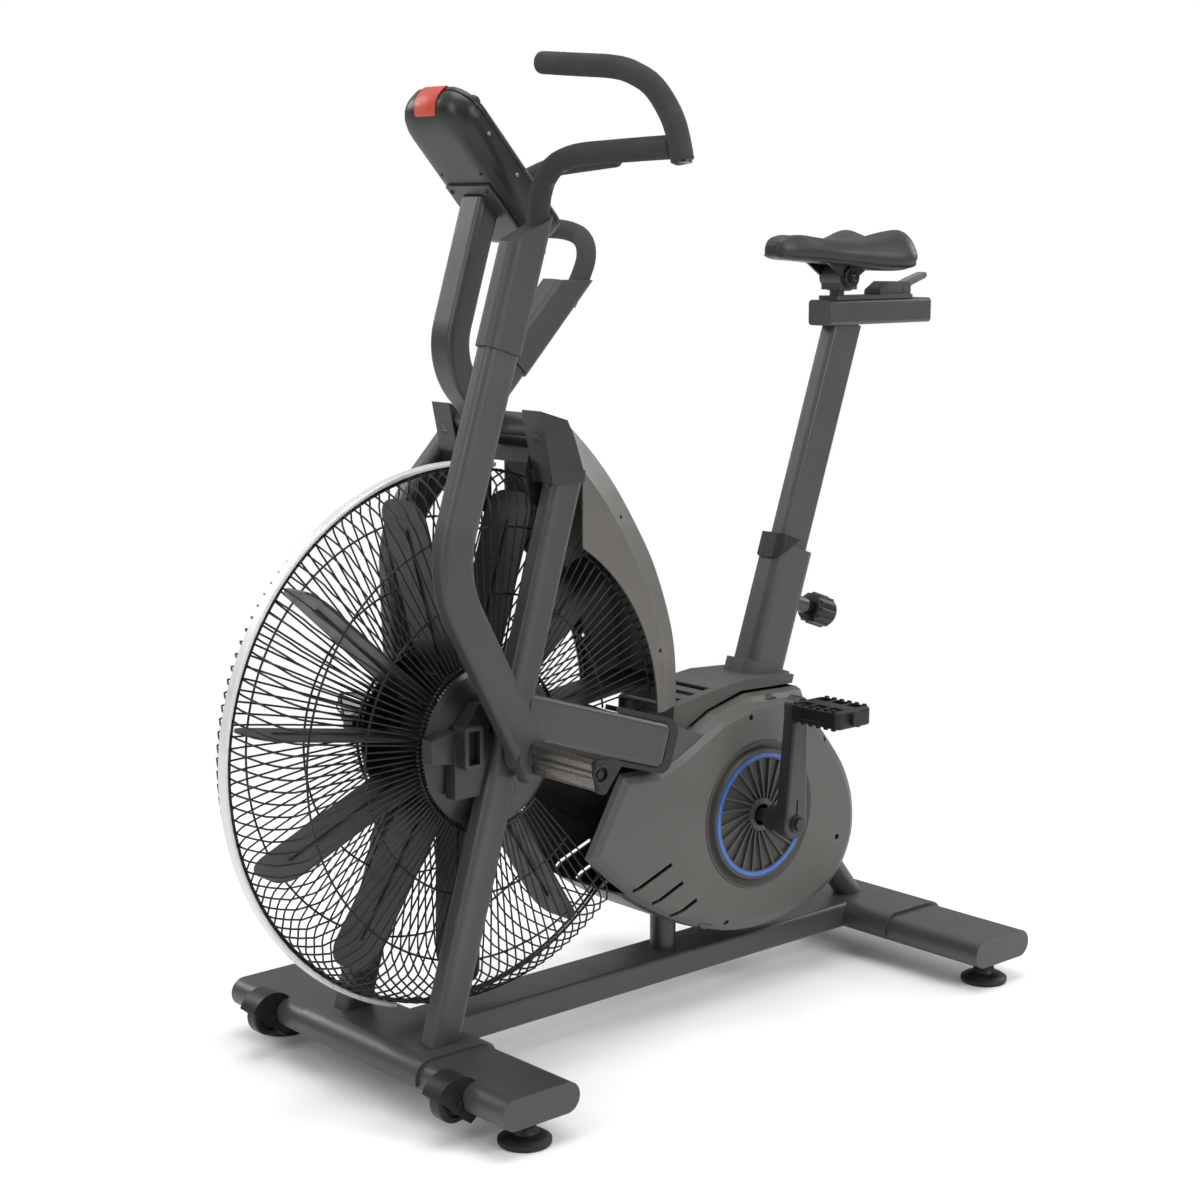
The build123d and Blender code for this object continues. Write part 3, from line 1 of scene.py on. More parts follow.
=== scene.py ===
# Exercise bike with a caged fan wheel, swinging arms, a saddle and a console. Front is -X, rear +X,
# left -Y, right +Y, up +Z. Positions are drawn in millimetres and turned into metres by place();
# tube radii and screw sizes are in metres.
import bpy, bmesh, math, json, random
from mathutils import Vector, Matrix


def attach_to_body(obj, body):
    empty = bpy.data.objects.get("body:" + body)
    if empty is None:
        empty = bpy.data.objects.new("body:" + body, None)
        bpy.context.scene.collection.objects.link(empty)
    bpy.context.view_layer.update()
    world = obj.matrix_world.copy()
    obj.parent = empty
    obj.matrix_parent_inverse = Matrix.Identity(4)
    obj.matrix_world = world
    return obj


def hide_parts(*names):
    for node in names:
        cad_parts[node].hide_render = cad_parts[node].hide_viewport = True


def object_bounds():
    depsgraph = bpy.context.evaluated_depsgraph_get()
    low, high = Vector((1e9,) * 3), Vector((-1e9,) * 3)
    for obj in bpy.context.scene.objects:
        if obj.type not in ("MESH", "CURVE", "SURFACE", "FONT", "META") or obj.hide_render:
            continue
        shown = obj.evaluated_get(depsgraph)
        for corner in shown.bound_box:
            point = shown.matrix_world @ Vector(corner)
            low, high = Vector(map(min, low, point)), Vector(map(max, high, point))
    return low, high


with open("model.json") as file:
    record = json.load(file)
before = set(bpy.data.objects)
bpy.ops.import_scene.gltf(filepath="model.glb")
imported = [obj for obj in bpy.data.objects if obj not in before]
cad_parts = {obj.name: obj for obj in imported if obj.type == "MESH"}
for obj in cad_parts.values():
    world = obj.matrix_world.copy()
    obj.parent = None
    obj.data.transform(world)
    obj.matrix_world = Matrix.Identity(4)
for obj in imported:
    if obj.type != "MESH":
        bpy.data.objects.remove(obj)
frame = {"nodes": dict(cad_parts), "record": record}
cad_box = [list(map(float, v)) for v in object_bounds()]
joints = {j["name"]: j for j in frame["record"]["behaviour"]["joints"]}
random.seed(7)

ARM_PIVOT_X, _, ARM_PIVOT_Z = joints["left_arm_swing"]["pos_m"]
ORIGIN_X = ARM_PIVOT_X - 0.121  # the arm pivot stands at x = 121 mm in the drawing
FAN_AXLE = Vector(joints["fan_spin"]["pos_m"])
SIDES = ((-1, "left"), (1, "right"))  # sign of y, side
FULL_TURN = 2 * math.pi


def place(x, y, z):
    """Side drawing in millimetres to the frame in metres."""
    return Vector((x / 1000.0 + ORIGIN_X, y / 1000.0, z / 1000.0))


# ------------------------------------------------------------------ materials
def shade(tree, kind, inputs=None, out=0, **settings):
    """Adds a shader node and returns one output. Inputs hold values or the outputs to link."""
    node = tree.nodes.new("ShaderNode" + kind)
    for key, value in settings.items():
        setattr(node, key, value)
    for socket, value in (inputs or {}).items():
        if isinstance(value, bpy.types.NodeSocket):
            tree.links.new(value, node.inputs[socket])
        else:
            node.inputs[socket].default_value = value
    return node.outputs[out]


def map_range(tree, value, low, high, start=0.3, stop=0.7, **settings):
    """Maps start..stop to low..high; the default start and stop suit a noise texture."""
    return shade(tree, "MapRange", {"Value": value, "From Min": start, "From Max": stop,
                                    "To Min": low, "To Max": high}, **settings)


def multiply(tree, first, second):
    return shade(tree, "Math", {0: first, 1: second}, operation="MULTIPLY")


def material(name, color, rough, metallic=0.0, coat=0.0, tint_var=0.08, grain=900, bump=0.12,
             rough_var=0.12, edge=0.0, spec=0.5, patch=9.0, weave=None):
    """Grained surface.

    tint_var and rough_var: how far colour and roughness wander; grain, patch and weave: scales
    of the fine noise, the slow noise and the cell pattern; edge: painted highlight, the colour
    brightened on sharp convex edges.
    """
    mat = bpy.data.materials.new(name)
    mat.use_nodes = True
    tree = mat.node_tree
    tree.nodes.clear()
    position = shade(tree, "TexCoord", out="Object")

    def noise(scale, detail):
        return shade(tree, "TexNoise", {"Scale": scale, "Detail": detail, "Vector": position},
                     out="Fac")

    # colour: slow variation times the speckle of the grain
    speckle = noise(grain, detail=3)
    fine_var = tint_var * 0.8
    tone = multiply(tree, map_range(tree, noise(patch, detail=5), 1 - tint_var, 1 + tint_var),
                    map_range(tree, speckle, 1 - fine_var, 1 + fine_var))
    if edge:
        # painted highlight: the colour is brightened on sharp convex edges, where pointiness is
        # high
        pointed = shade(tree, "NewGeometry", out="Pointiness")
        tone = multiply(tree, tone,
                        map_range(tree, pointed, 1.0, 1.0 + edge, start=0.51, stop=0.60))
    tint = shade(tree, "VectorMath", {0: color, "Scale": tone}, operation="SCALE")

    roughness = map_range(tree, noise(patch * 4, detail=6),
                          max(rough - rough_var, 0.03), min(rough + rough_var, 1))

    # normal: softened edges, then the grain, then the cells
    normal = shade(tree, "Bevel", {"Radius": 0.0011}, samples=4)
    normal = shade(tree, "Bump", {"Strength": bump, "Distance": 0.0004, "Height": speckle,
                                  "Normal": normal})
    if weave:
        cells = shade(tree, "TexVoronoi", {"Scale": weave, "Vector": position}, out="Distance")
        normal = shade(tree, "Bump", {"Strength": 0.35, "Distance": 0.0005, "Height": cells,
                                      "Normal": normal})

    surface = {"Base Color": tint, "Metallic": metallic, "Roughness": roughness,
               "Specular IOR Level": spec, "Normal": normal}
    if coat:
        surface.update({"Coat Weight": coat, "Coat Roughness": 0.18})
    shade_out = shade(tree, "BsdfPrincipled", surface)
    output = tree.nodes.new("ShaderNodeOutputMaterial")
    tree.links.new(shade_out, output.inputs[0])
    return mat


# edge sets the strength of a painted highlight that brightens sharp convex edges
MATERIALS = {
    "frame": material("frame_paint", (0.034, 0.0325, 0.0318), rough=0.40, metallic=0.15,
                      grain=700, edge=0.40, coat=0.06, rough_var=0.05, patch=4),
    "arm": material("arm_paint", (0.036, 0.0350, 0.0343), rough=0.44, metallic=0.10,
                    grain=700, edge=0.35, coat=0.04, rough_var=0.05, patch=4),
    "sleeve": material("sleeve_plastic", (0.026, 0.0247, 0.0235), rough=0.52, bump=0.16,
                       edge=0.3, tint_var=0.06, rough_var=0.05, patch=4),
    "housing": material("housing_plastic", (0.060, 0.056, 0.0515), rough=0.42, grain=1100,
                        tint_var=0.06, edge=0.25, coat=0.06, rough_var=0.05, patch=4),
    "fender": material("fender_plastic", (0.078, 0.073, 0.067), rough=0.44, grain=1100,
                       tint_var=0.06, edge=0.25, coat=0.06, rough_var=0.05, patch=4),
    "top": material("top_cover_plastic", (0.060, 0.057, 0.053), rough=0.55, grain=1100,
                    tint_var=0.06, edge=0.3, rough_var=0.05, spec=0.35),
    "black": material("black_plastic", (0.0065, 0.0065, 0.0068), rough=0.40, edge=0.8,
                      spec=0.32, tint_var=0.10, rough_var=0.06),
    "shell": material("console_plastic", (0.0075, 0.0072, 0.0070), rough=0.34, grain=1300,
                      bump=0.08, edge=0.5, spec=0.42, tint_var=0.05, rough_var=0.04, patch=4),
    "cover": material("cover_plastic", (0.0125, 0.0125, 0.0135), rough=0.36, bump=0.08,
                      edge=0.5, coat=0.05, rough_var=0.05),
    "disc": material("disc_plastic", (0.034, 0.032, 0.030), rough=0.44, edge=0.6,
                     rough_var=0.05),
    "wire": material("wire_coat", (0.006, 0.006, 0.0063), rough=0.36, metallic=0.15, grain=600,
                     bump=0.05, spec=0.4, tint_var=0.18),
    "silver": material("hoop_silver", (0.62, 0.62, 0.61), rough=0.38, metallic=0.25, bump=0.05,
                       tint_var=0.04),
    "blue": material("accent_blue", (0.012, 0.105, 0.42), rough=0.30, bump=0.05, coat=0.2),
    "red": material("tab_red", (0.44, 0.048, 0.026), rough=0.42, bump=0.08),
    "steel": material("machined_steel", (0.26, 0.26, 0.26), rough=0.30, metallic=0.9, grain=420,
                      bump=0.03, tint_var=0.06),
    "bolt": material("bolt_black", (0.018, 0.018, 0.019), rough=0.32, metallic=0.5, grain=600,
                     bump=0.05, edge=0.8, rough_var=0.05),
    "peg": material("peg_metal", (0.20, 0.188, 0.176), rough=0.27, metallic=1.0, bump=0.015,
                    rough_var=0.03, tint_var=0.04, patch=3.0, edge=0.3),
    "blade": material("blade_plastic", (0.0165, 0.0145, 0.013), rough=0.44, grain=700,
                      bump=0.10, edge=0.4, rough_var=0.05),
    "rubber": material("foot_rubber", (0.008, 0.008, 0.008), rough=0.58, grain=700, bump=0.25,
                       spec=0.4, tint_var=0.18),
    "belt": material("belt_rubber", (0.010, 0.010, 0.010), rough=0.7, grain=500, bump=0.3,
                     tint_var=0.18),
    "foam": material("grip_foam", (0.031, 0.030, 0.030), rough=0.82, grain=520, bump=0.55,
                     tint_var=0.16, weave=900, spec=0.3),
    "vinyl": material("saddle_vinyl", (0.015, 0.015, 0.0152), rough=0.42, grain=620, bump=0.18,
                      weave=750, rough_var=0.05, spec=0.45),
    "pan": material("saddle_pan", (0.008, 0.008, 0.0083), rough=0.45, grain=700, bump=0.2,
                    spec=0.35, tint_var=0.18),
    "crank": material("crank_paint", (0.030, 0.030, 0.030), rough=0.34, metallic=0.35,
                      grain=700, bump=0.06, edge=0.6, rough_var=0.05),
    "glass": material("screen_gloss", (0.006, 0.007, 0.008), rough=0.10, bump=0.01, coat=0.5,
                      tint_var=0.18),
    "alu": material("lever_alloy", (0.12, 0.12, 0.12), rough=0.36, metallic=0.6, grain=500,
                    bump=0.05, edge=0.4, tint_var=0.06),
}
# material: the CAD pieces that wear it
CAD_PIECES = {
    "frame": ["front_stabiliser", "rear_stabiliser", "base_tube", "front_posts", "console_mast",
              "side_stays", "inner_frame", "frame_struts", "seat_tube", "seat_post",
              "slider_rail", "seat_carriage"],
    "arm": ["arm_left", "arm_right"],
    "sleeve": ["sleeve_left", "sleeve_right"],
    "housing": ["housing_left", "housing_right"],
    "fender": ["fender"],
    "top": ["housing_top"],
    "black": ["bridge_shroud", "stay_liners", "console_button", "peg_caps", "seat_tube_cap",
              "pin_knob", "wheel_left", "wheel_right", "wheel_brackets", "pedal_left",
              "pedal_right", "drive_pulley", "fan_hub"],
    "cover": ["hub_covers", "post_caps"],
    "disc": ["disc_covers"],
    "shell": ["console_back", "console_face"],
    "blade": ["fan_blades"],
    "silver": ["cage_ring"],
    "blue": ["accent_rings"],
    "red": ["console_tab"],
    "steel": ["fan_axle", "bearings"],
    "bolt": ["crank_spindle", "handle_left", "handle_right", "saddle_bracket"],
    "peg": ["pegs"],
    "rubber": ["levelling_feet"],
    "belt": ["drive_belt"],
    "crank": ["crank_left", "crank_right"],
    "glass": ["console_screen"],
    "alu": ["cam_lever"],
}
for key, names in CAD_PIECES.items():
    for name in names:
        piece = frame["nodes"][name]
        if not piece.material_slots:
            piece.data.materials.append(MATERIALS[key])
        for slot in piece.material_slots:
            slot.material = MATERIALS[key]


# --------------------------------------------------------------- mesh helpers
def smooth_faces(mesh):
    for polygon in mesh.polygons:
        polygon.use_smooth = True


def link_object(name, mesh):
    obj = bpy.data.objects.new(name, mesh)
    bpy.context.scene.collection.objects.link(obj)
    return obj


def new_object(name, bm, mat, smooth=True, creased=False):
    """Object from a bmesh; creased keeps the edges over 35 degrees sharp."""
    mesh = bpy.data.meshes.new(name)
    bmesh.ops.recalc_face_normals(bm, faces=bm.faces[:])
    bm.to_mesh(mesh)
    bm.free()
    if smooth:
        smooth_faces(mesh)
    mesh.materials.append(mat)
    if creased:
        mesh.set_sharp_from_angle(angle=math.radians(35))
    return link_object(name, mesh)


def attach(obj, body, replaces=None):
    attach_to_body(obj, body)
    if replaces:
        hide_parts(replaces)


def bake_modifiers(obj):
    depsgraph = bpy.context.evaluated_depsgraph_get()
    mesh = bpy.data.meshes.new_from_object(obj.evaluated_get(depsgraph))
    obj.modifiers.clear()
    obj.data = mesh


def loft(bm, loops, caps=True):
    """Skin over closed loops of points; returns the rings of vertices."""
    rings = [[bm.verts.new(point) for point in loop] for loop in loops]
    for a, b in zip(rings, rings[1:]):
        count = len(a)
        for k in range(count):
            bm.faces.new((a[k], a[(k + 1) % count], b[(k + 1) % count], b[k]))
    if caps:
        bm.faces.new(rings[0][::-1])
        bm.faces.new(rings[-1])
    return rings


def square_to(axis):
    """Unit vector square to the axis, upright where it can be."""
    ref = Vector((0, 0, 1)) if abs(axis.z) < 0.9 else Vector((1, 0, 0))
    return (ref - axis * ref.dot(axis)).normalized()


def tangent(path, i):
    return (path[min(i + 1, len(path) - 1)] - path[max(i - 1, 0)]).normalized()


def tube(bm, path, radius, sides, caps=True):
    """Round tube along points; radius is one number or a list with one per point."""
    radii = radius if isinstance(radius, list) else [radius] * len(path)
    angles = [FULL_TURN * k / sides for k in range(sides)]
    loops = []
    up = None
    for i, (centre, r) in enumerate(zip(path, radii)):
        along = tangent(path, i)
        up = square_to(along) if up is None else (up - along * up.dot(along)).normalized()
        side = along.cross(up)
        loops.append([centre + (up * math.cos(a) + side * math.sin(a)) * r for a in angles])
    loft(bm, loops, caps)


def catmull(points, steps):
    """Smooth curve through the points, with a number of steps between each pair."""
    curve = []
    last = len(points) - 1
    for i in range(last):
        p0, p1, p2, p3 = points[max(i - 1, 0)], points[i], points[i + 1], points[min(i + 2, last)]
        for k in range(steps):
            t = k / steps
            curve.append(0.5 * ((2 * p1) + (p2 - p0) * t + (2 * p0 - 5 * p1 + 4 * p2 - p3) * t * t
                                + (3 * p1 - p0 - 3 * p2 + p3) * t ** 3))
    curve.append(points[-1])
    return curve


# ------------------------------------------------------------------ wire cage
# Thin coated wires run from the hub ring to the rim and slant as they turn over it; plain rings
# join them. Angles run about the fan axle, from the rear towards the top.
WIRE_COUNT = 128  # round the full turn
WIRE_RADIUS = 0.00135
GAP_START, GAP_END = math.radians(-47), math.radians(6)  # sector left without wires
FENDER_END = math.radians(68)  # up to here the wires stop short of the rim
CAGE_Y = 70.0
RING_Y = CAGE_Y - 2.0
RING_STEPS = 150
# radius, y, twist in radians
WIRE_SIDE = [(109, 66.5, 0.0), (124, 68.5, 0.0), (150, CAGE_Y, 0.002), (225, CAGE_Y, 0.006),
             (290, CAGE_Y, 0.010)]
WIRE_SHORT_END = [(306, CAGE_Y, 0.011)]
WIRE_RIM_END = [(308, CAGE_Y - 0.6, 0.012), (318, CAGE_Y - 4, 0.016), (328, CAGE_Y - 11, 0.021),
                (341, 52, 0.031), (351, 34, 0.043), (357.5, 17, 0.052), (359.8, 4, 0.060)]
# radius, y, wire radius in metres, start angle
CAGE_RINGS = [(288, RING_Y, 0.0015, GAP_END), (200, RING_Y, 0.0015, GAP_END),
              (116, 66.2, 0.0024, GAP_END), (358.3, 3.4, 0.0020, FENDER_END)]


def around_fan(radius, angle, y):
    """Point at a radius and y in millimetres about the fan axle."""
    return Vector((FAN_AXLE.x + radius / 1000 * math.cos(angle), y / 1000,
                   FAN_AXLE.z + radius / 1000 * math.sin(angle)))


def wire_cage(sign, side):
    bm = bmesh.new()
    stagger = 0.0 if sign < 0 else 0.5
    for k in range(WIRE_COUNT):
        angle = FULL_TURN * (k + stagger) / WIRE_COUNT
        wrapped = (angle + math.pi) % FULL_TURN - math.pi
        if GAP_START < wrapped < GAP_END:
            continue
        end = WIRE_SHORT_END if 0 < wrapped < FENDER_END else WIRE_RIM_END
        wire = [around_fan(r, angle + twist * sign, sign * y) for r, y, twist in WIRE_SIDE + end]
        tube(bm, wire, WIRE_RADIUS, sides=6)
    stop = GAP_START + FULL_TURN
    for r, y, wire_radius, start in CAGE_RINGS:
        ring = [around_fan(r, start + (stop - start) * i / RING_STEPS, sign * y)
                for i in range(RING_STEPS + 1)]
        tube(bm, ring, wire_radius, sides=8)
    node = "cage_" + side
    attach(new_object("wire_guard_" + side, bm, MATERIALS["wire"]), "frame", replaces=node)


for sign, side in SIDES:
    wire_cage(sign, side)

# ------------------------------------------------------------------ foam grips
GRIP_STEP = 0.0035  # spacing of the rings along a grip
GRIP_END = 0.004  # length of the rounded end
RIGHT_ARM_TURN = 26.4  # degrees from the mirrored left arm to the right arm
# x, y, z along the left handle
LOWER_GRIP = [(142.9, -132, 1114), (144.6, -132, 1140), (145.4, -135, 1164),
              (145.2, -146, 1185), (145, -164, 1199.5), (144.8, -188, 1207.5),
              (144.5, -216, 1211.5), (144.3, -262, 1213.2), (144.1, -320, 1214.8),
              (144, -379, 1216)]
UPPER_GRIP = [(145, -391, 1197), (144, -376, 1245), (142, -346, 1284), (142, -310, 1303),
              (141.5, -274, 1312), (141, -210, 1318), (141, -142, 1324)]


def resample(path, step):
    """Points at an even step along the path, and its last point."""
    even = [path[0]]
    carried = 0.0
    for a, b in zip(path, path[1:]):
        length = (b - a).length
        t = step - carried
        while t < length:
            even.append(a + (b - a) * (t / length))
            t += step
        carried = length - (t - step)
    even.append(path[-1])
    return even


def foam_grip(name, points, steps, radius):
    """Foam tube with softly rounded ends and a slightly uneven skin."""
    path = resample(catmull([place(*point) for point in points], steps), GRIP_STEP)
    radii = []
    for point in path:
        d = min((point - path[0]).length, (path[-1] - point).length)
        swell = 1.0
        if d <= GRIP_END:
            swell = math.sqrt(max(0.0, 1 - (1 - d / GRIP_END) ** 2)) * 0.35 + 0.65
        radii.append(radius * swell)
    bm = bmesh.new()
    tube(bm, path, radii, sides=28)
    grip = new_object(name, bm, MATERIALS["foam"])
    texture = bpy.data.textures.new("foam_noise_" + name, "CLOUDS")
    texture.noise_scale = 0.0025
    skin = grip.modifiers.new("skin", "DISPLACE")
    skin.texture = texture
    skin.strength = 0.0005
    skin.mid_level = 0.5
    skin.texture_coords = "GLOBAL"
    bake_modifiers(grip)
    return grip


def mirrored_grip(grip):
    """Copy of a left grip, mirrored and turned to the right arm's place."""
    mesh = grip.data.copy()
    joint = Vector(joints["right_arm_swing"]["pos_m"])
    pivot = Vector((joint.x, 0, joint.z))
    turn = Matrix.Rotation(math.radians(RIGHT_ARM_TURN), 4, "Y")
    mirror = Matrix.Scale(-1, 4, Vector((0, 1, 0)))
    mesh.transform(Matrix.Translation(pivot) @ turn @ Matrix.Translation(-pivot) @ mirror)
    mesh.flip_normals()
    return link_object(grip.name.replace("left", "right"), mesh)


left_grips = [foam_grip("foam_lower_left", LOWER_GRIP, steps=7, radius=0.0142),
              foam_grip("foam_upper_left", UPPER_GRIP, steps=14, radius=0.014)]
for grip in left_grips:
    right_grip = mirrored_grip(grip)
    attach(grip, "arm_l", replaces="grip_left")
    attach(right_grip, "arm_r", replaces="grip_right")

# -------------------------------------------------------------------- saddle
SADDLE_STEPS = 5  # between two stations
# x, half width, centre top, lobe top, wing edge, bottom
SADDLE = [
    (702, 11, 1100, 1100, 1092, 1084),
    (709, 20, 1107, 1107, 1093, 1080),
    (725, 26, 1112, 1112, 1093, 1077.5),
    (748, 29, 1113.5, 1113.5, 1092, 1076),
    (790, 33, 1109, 1109, 1090, 1073),
    (829, 43, 1104.5, 1106, 1087, 1069),
    (865, 62, 1103, 1112, 1083, 1063),
    (895, 77, 1104, 1119, 1081, 1060),
    (920, 84, 1103, 1122, 1081, 1060),
    (940, 78, 1099, 1117, 1083, 1065),
    (951, 60, 1094, 1108, 1085, 1073),
    (956, 36, 1089, 1097, 1085, 1079),
]


def saddle_section(x, width, centre, lobe, edge, bottom):
    """Closed section at one station, from the centre top round by +Y."""
    half = [  # part of the half width, z
        (0, centre), (0.16, centre * 0.86 + lobe * 0.14), (0.32, centre * 0.5 + lobe * 0.5),
        (0.48, centre * 0.12 + lobe * 0.88), (0.62, lobe), (0.76, lobe * 0.84 + edge * 0.16),
        (0.88, lobe * 0.55 + edge * 0.45), (0.965, lobe * 0.2 + edge * 0.8), (1.0, edge),
        (0.985, edge * 0.6 + bottom * 0.4), (0.93, edge * 0.25 + bottom * 0.75),
        (0.80, bottom), (0.5, bottom), (0.25, bottom), (0, bottom)]
    points = [(part * width, z) for part, z in half]
    points += [(-y, z) for y, z in reversed(points[1:-1])]
    return [place(x, y, z) for y, z in points]


def saddle_cover():
    sections = [saddle_section(*station) for station in SADDLE]
    lines = [catmull(line, SADDLE_STEPS) for line in zip(*sections)]
    bm = bmesh.new()
    loft(bm, list(zip(*lines)))
    saddle = new_object("saddle_cover", bm, MATERIALS["vinyl"])
    subdivision = saddle.modifiers.new("sub", "SUBSURF")
    subdivision.levels = 1
    subdivision.render_levels = 1
    bake_modifiers(saddle)
    for vertex in saddle.data.vertices:
        # a channel along the middle, deepest at the rear, and soft waves over the top
        x = (vertex.co.x - ORIGIN_X) * 1000
        y = vertex.co.y * 1000
        z = vertex.co.z * 1000
        if z > 1094:
            depth = 1 if 820 < x < 950 else 0.25
            vertex.co.z -= 0.0022 * math.exp(-(y / 9.0) ** 2) * depth
            vertex.co.z += 0.0004 * math.sin(x * 0.09) * math.cos(y * 0.11)
    smooth_faces(saddle.data)
    attach(saddle, "saddle_unit", replaces="saddle")


def saddle_piping():
    """Thin cord round the cover, just above its underside."""
    right = catmull([place(x, width * 0.938, edge * 0.25 + bottom * 0.75 + 0.4)
                     for x, width, _, _, edge, bottom in SADDLE], SADDLE_STEPS)
    left = [Vector((p.x, -p.y, p.z)) for p in reversed(right)]
    bm = bmesh.new()
    tube(bm, right + left + [right[0]], 0.0015, sides=8, caps=False)
    attach(new_object("saddle_piping", bm, MATERIALS["pan"]), "saddle_unit")


saddle_cover()
saddle_piping()

# ------------------------------------------------------------------ fasteners
SCREW_SIDES = 24
# part of the head radius, part of the head height
SCREW_HEAD = [(0.98, -0.4), (1.0, 0.0), (0.97, 0.35), (0.86, 0.72), (0.68, 0.93), (0.5, 1.0)]
SOCKET_SIZE = 0.42  # centre to flat, as a part of the head radius
SOCKET_LEVELS = (1.0, 0.35)  # mouth and floor, as parts of the head height


def screw(name, centre, axis, radius, height, mat, body="frame"):
    """Button-head screw with a hexagon socket."""
    axis = Vector(axis).normalized()
    up = square_to(axis)
    side = axis.cross(up)
    angles = [FULL_TURN * k / SCREW_SIDES for k in range(SCREW_SIDES)]
    hexagon = [SOCKET_SIZE / math.cos(a % (math.pi / 3) - math.pi / 6) for a in angles]
    levels = [([part] * SCREW_SIDES, level) for part, level in SCREW_HEAD]
    levels += [(hexagon, level) for level in SOCKET_LEVELS]
    bm = bmesh.new()
    rings = loft(bm, [[centre + axis * (height * level)
                       + (up * math.cos(a) + side * math.sin(a)) * radius * part
                       for a, part in zip(angles, parts)] for parts, level in levels], caps=False)
    bm.faces.new(rings[-1])
    bm.faces.new(rings[0][::-1])
    attach(new_object(name, bm, MATERIALS[mat], smooth=False), body)


# name, slot, head radius, (x, y, z) of each on the +Y side
SIDE_SCREWS = [
    ("housing", "housing_left", 0.0038,
     [(581, 82.0, 425), (770, 82.0, 212), (536, 82.0, 126), (742, 82.0, 368)]),
    ("fender", "fender", 0.0032, [(338, 67.0, 737), (405, 68.0, 545)]),
]
for name, slot, radius, spots in SIDE_SCREWS:
    for i, (x, y, z) in enumerate(spots):
        for sign, side in SIDES:
            screw(f"{name}_screw_{side[0]}{i}", place(x, sign * y, z), (0, sign, 0),
                  radius=radius, height=0.003, mat="black")

# -------------------------------------------------------------------- console
# Its own frame: s runs down the sloping face, y across it and n out of it towards the rider.
CONSOLE_ORIGIN = Vector((92, 0, 1297))
CONSOLE_DOWN = Vector((0.672, 0, -0.7405))
CONSOLE_OUT = Vector((0.7405, 0, 0.672))
TOP_S, BOTTOM_S, HALF_WIDTH = -4, 232, 67
TOP_CORNER, BOTTOM_CORNER = 40, 22  # corner radii of the outline
CORNER_STEPS = 9
# n, inset of the outline
BACK_LEVELS = [(-8.9, 1.6), (-9.6, 0.3), (-12, 0.0), (-17, 0.0), (-23, 1.0), (-29, 3.2),
               (-34.5, 7.0), (-39, 12.5), (-42.5, 19.5), (-44.8, 27.5), (-45.9, 36.0),
               (-46.1, 44.0)]
FACE_LEVELS = [(-8.6, 1.4), (-7.9, 0.2), (-6, 0.0), (-3, 0.3), (-1.2, 1.2), (-0.2, 3.0),
               (0.2, 6.0)]
# screen recess: top s, bottom s, half width, top corner, bottom corner, n
RECESS_LOOPS = [(14, 144, 54, 6, 6, 0.2), (16, 142, 52, 5, 5, -0.2),
                (17.6, 140.4, 50.4, 4, 4, -0.95), (18.4, 139.6, 49.6, 4, 4, -1.1)]
CATCH_HALF_WIDTH = 21.5
# s, n of the red catch, from the face over the top edge and down the back
CATCH_PATH = [(14, 1.4), (4, 1.4), (-2.5, 0.6), (-6.0, -3.0), (-6.6, -10), (-6.4, -17),
              (-4.6, -24), (-1.0, -30.5), (5.0, -36.4), (11.0, -40.4)]


def on_console(s, y, n):
    point = CONSOLE_ORIGIN + CONSOLE_DOWN * s + CONSOLE_OUT * n
    return place(point.x, y, point.z)


def console_loop(top, bottom, half, top_r, bottom_r, n):
    """Rounded rectangle at level n."""
    corners = ((top + top_r, half - top_r, top_r, 90),
               (top + top_r, -(half - top_r), top_r, 180),
               (bottom - bottom_r, -(half - bottom_r), bottom_r, 270),
               (bottom - bottom_r, half - bottom_r, bottom_r, 0))
    loop = []
    for s, y, r, start in corners:
        for k in range(CORNER_STEPS + 1):
            a = math.radians(start + 90.0 * k / CORNER_STEPS)
            loop.append(on_console(s + r * math.cos(a), y + r * math.sin(a), n))
    return loop


def console_part(name, loops, mat, node):
    bm = bmesh.new()
    loft(bm, loops)
    attach(new_object(name, bm, MATERIALS[mat], creased=True), "frame", replaces=node)


def console_shell():
    loops = []
    for n, inset in BACK_LEVELS:
        part = min(1.0, inset / 44.0)
        loops.append(console_loop(TOP_S + inset * 1.15, BOTTOM_S - inset * 0.55,
                                  HALF_WIDTH - inset * 0.75, TOP_CORNER - 26 * part,
                                  BOTTOM_CORNER - 10 * part, n))
    console_part("console_shell", loops, "shell", "console_back")


def console_bezel():
    loops = [console_loop(TOP_S + inset, BOTTOM_S - inset, HALF_WIDTH - inset,
                          TOP_CORNER - inset, BOTTOM_CORNER - inset, n)
             for n, inset in FACE_LEVELS]
    loops += [console_loop(*row) for row in RECESS_LOOPS]
    console_part("console_bezel", loops, "shell", "console_face")


def console_catch():
    """Red strip folded over the top edge, narrower at its ends."""
    path = catmull([Vector((s, 0, n)) for s, n in CATCH_PATH], 4)
    loops = []
    for i, point in enumerate(path):
        along = tangent(path, i)
        out = Vector((-along.z, 0, along.x))
        fullness = min(1.0, (len(path) - 1 - i) / 3.0, (i + 1) / 2.0)
        w = CATCH_HALF_WIDTH - 2.2 * (1 - fullness) ** 2
        section = ((-w, 0.3), (-w + 0.5, 0.0), (w - 0.5, 0.0), (w, 0.3),
                   (w, 1.8), (w - 0.8, 2.5), (-w + 0.8, 2.5), (-w, 1.8))  # y, thickness
        ring = []
        for y, thickness in section:
            corner = point + out * thickness
            ring.append(on_console(corner.x, y, corner.z))
        loops.append(ring)
    console_part("console_catch", loops, "red", "console_tab")


def console_screw(name, s, y, n, axis, radius, height, mat):
    screw("console_" + name, on_console(s, y, n), axis, radius, height, mat)


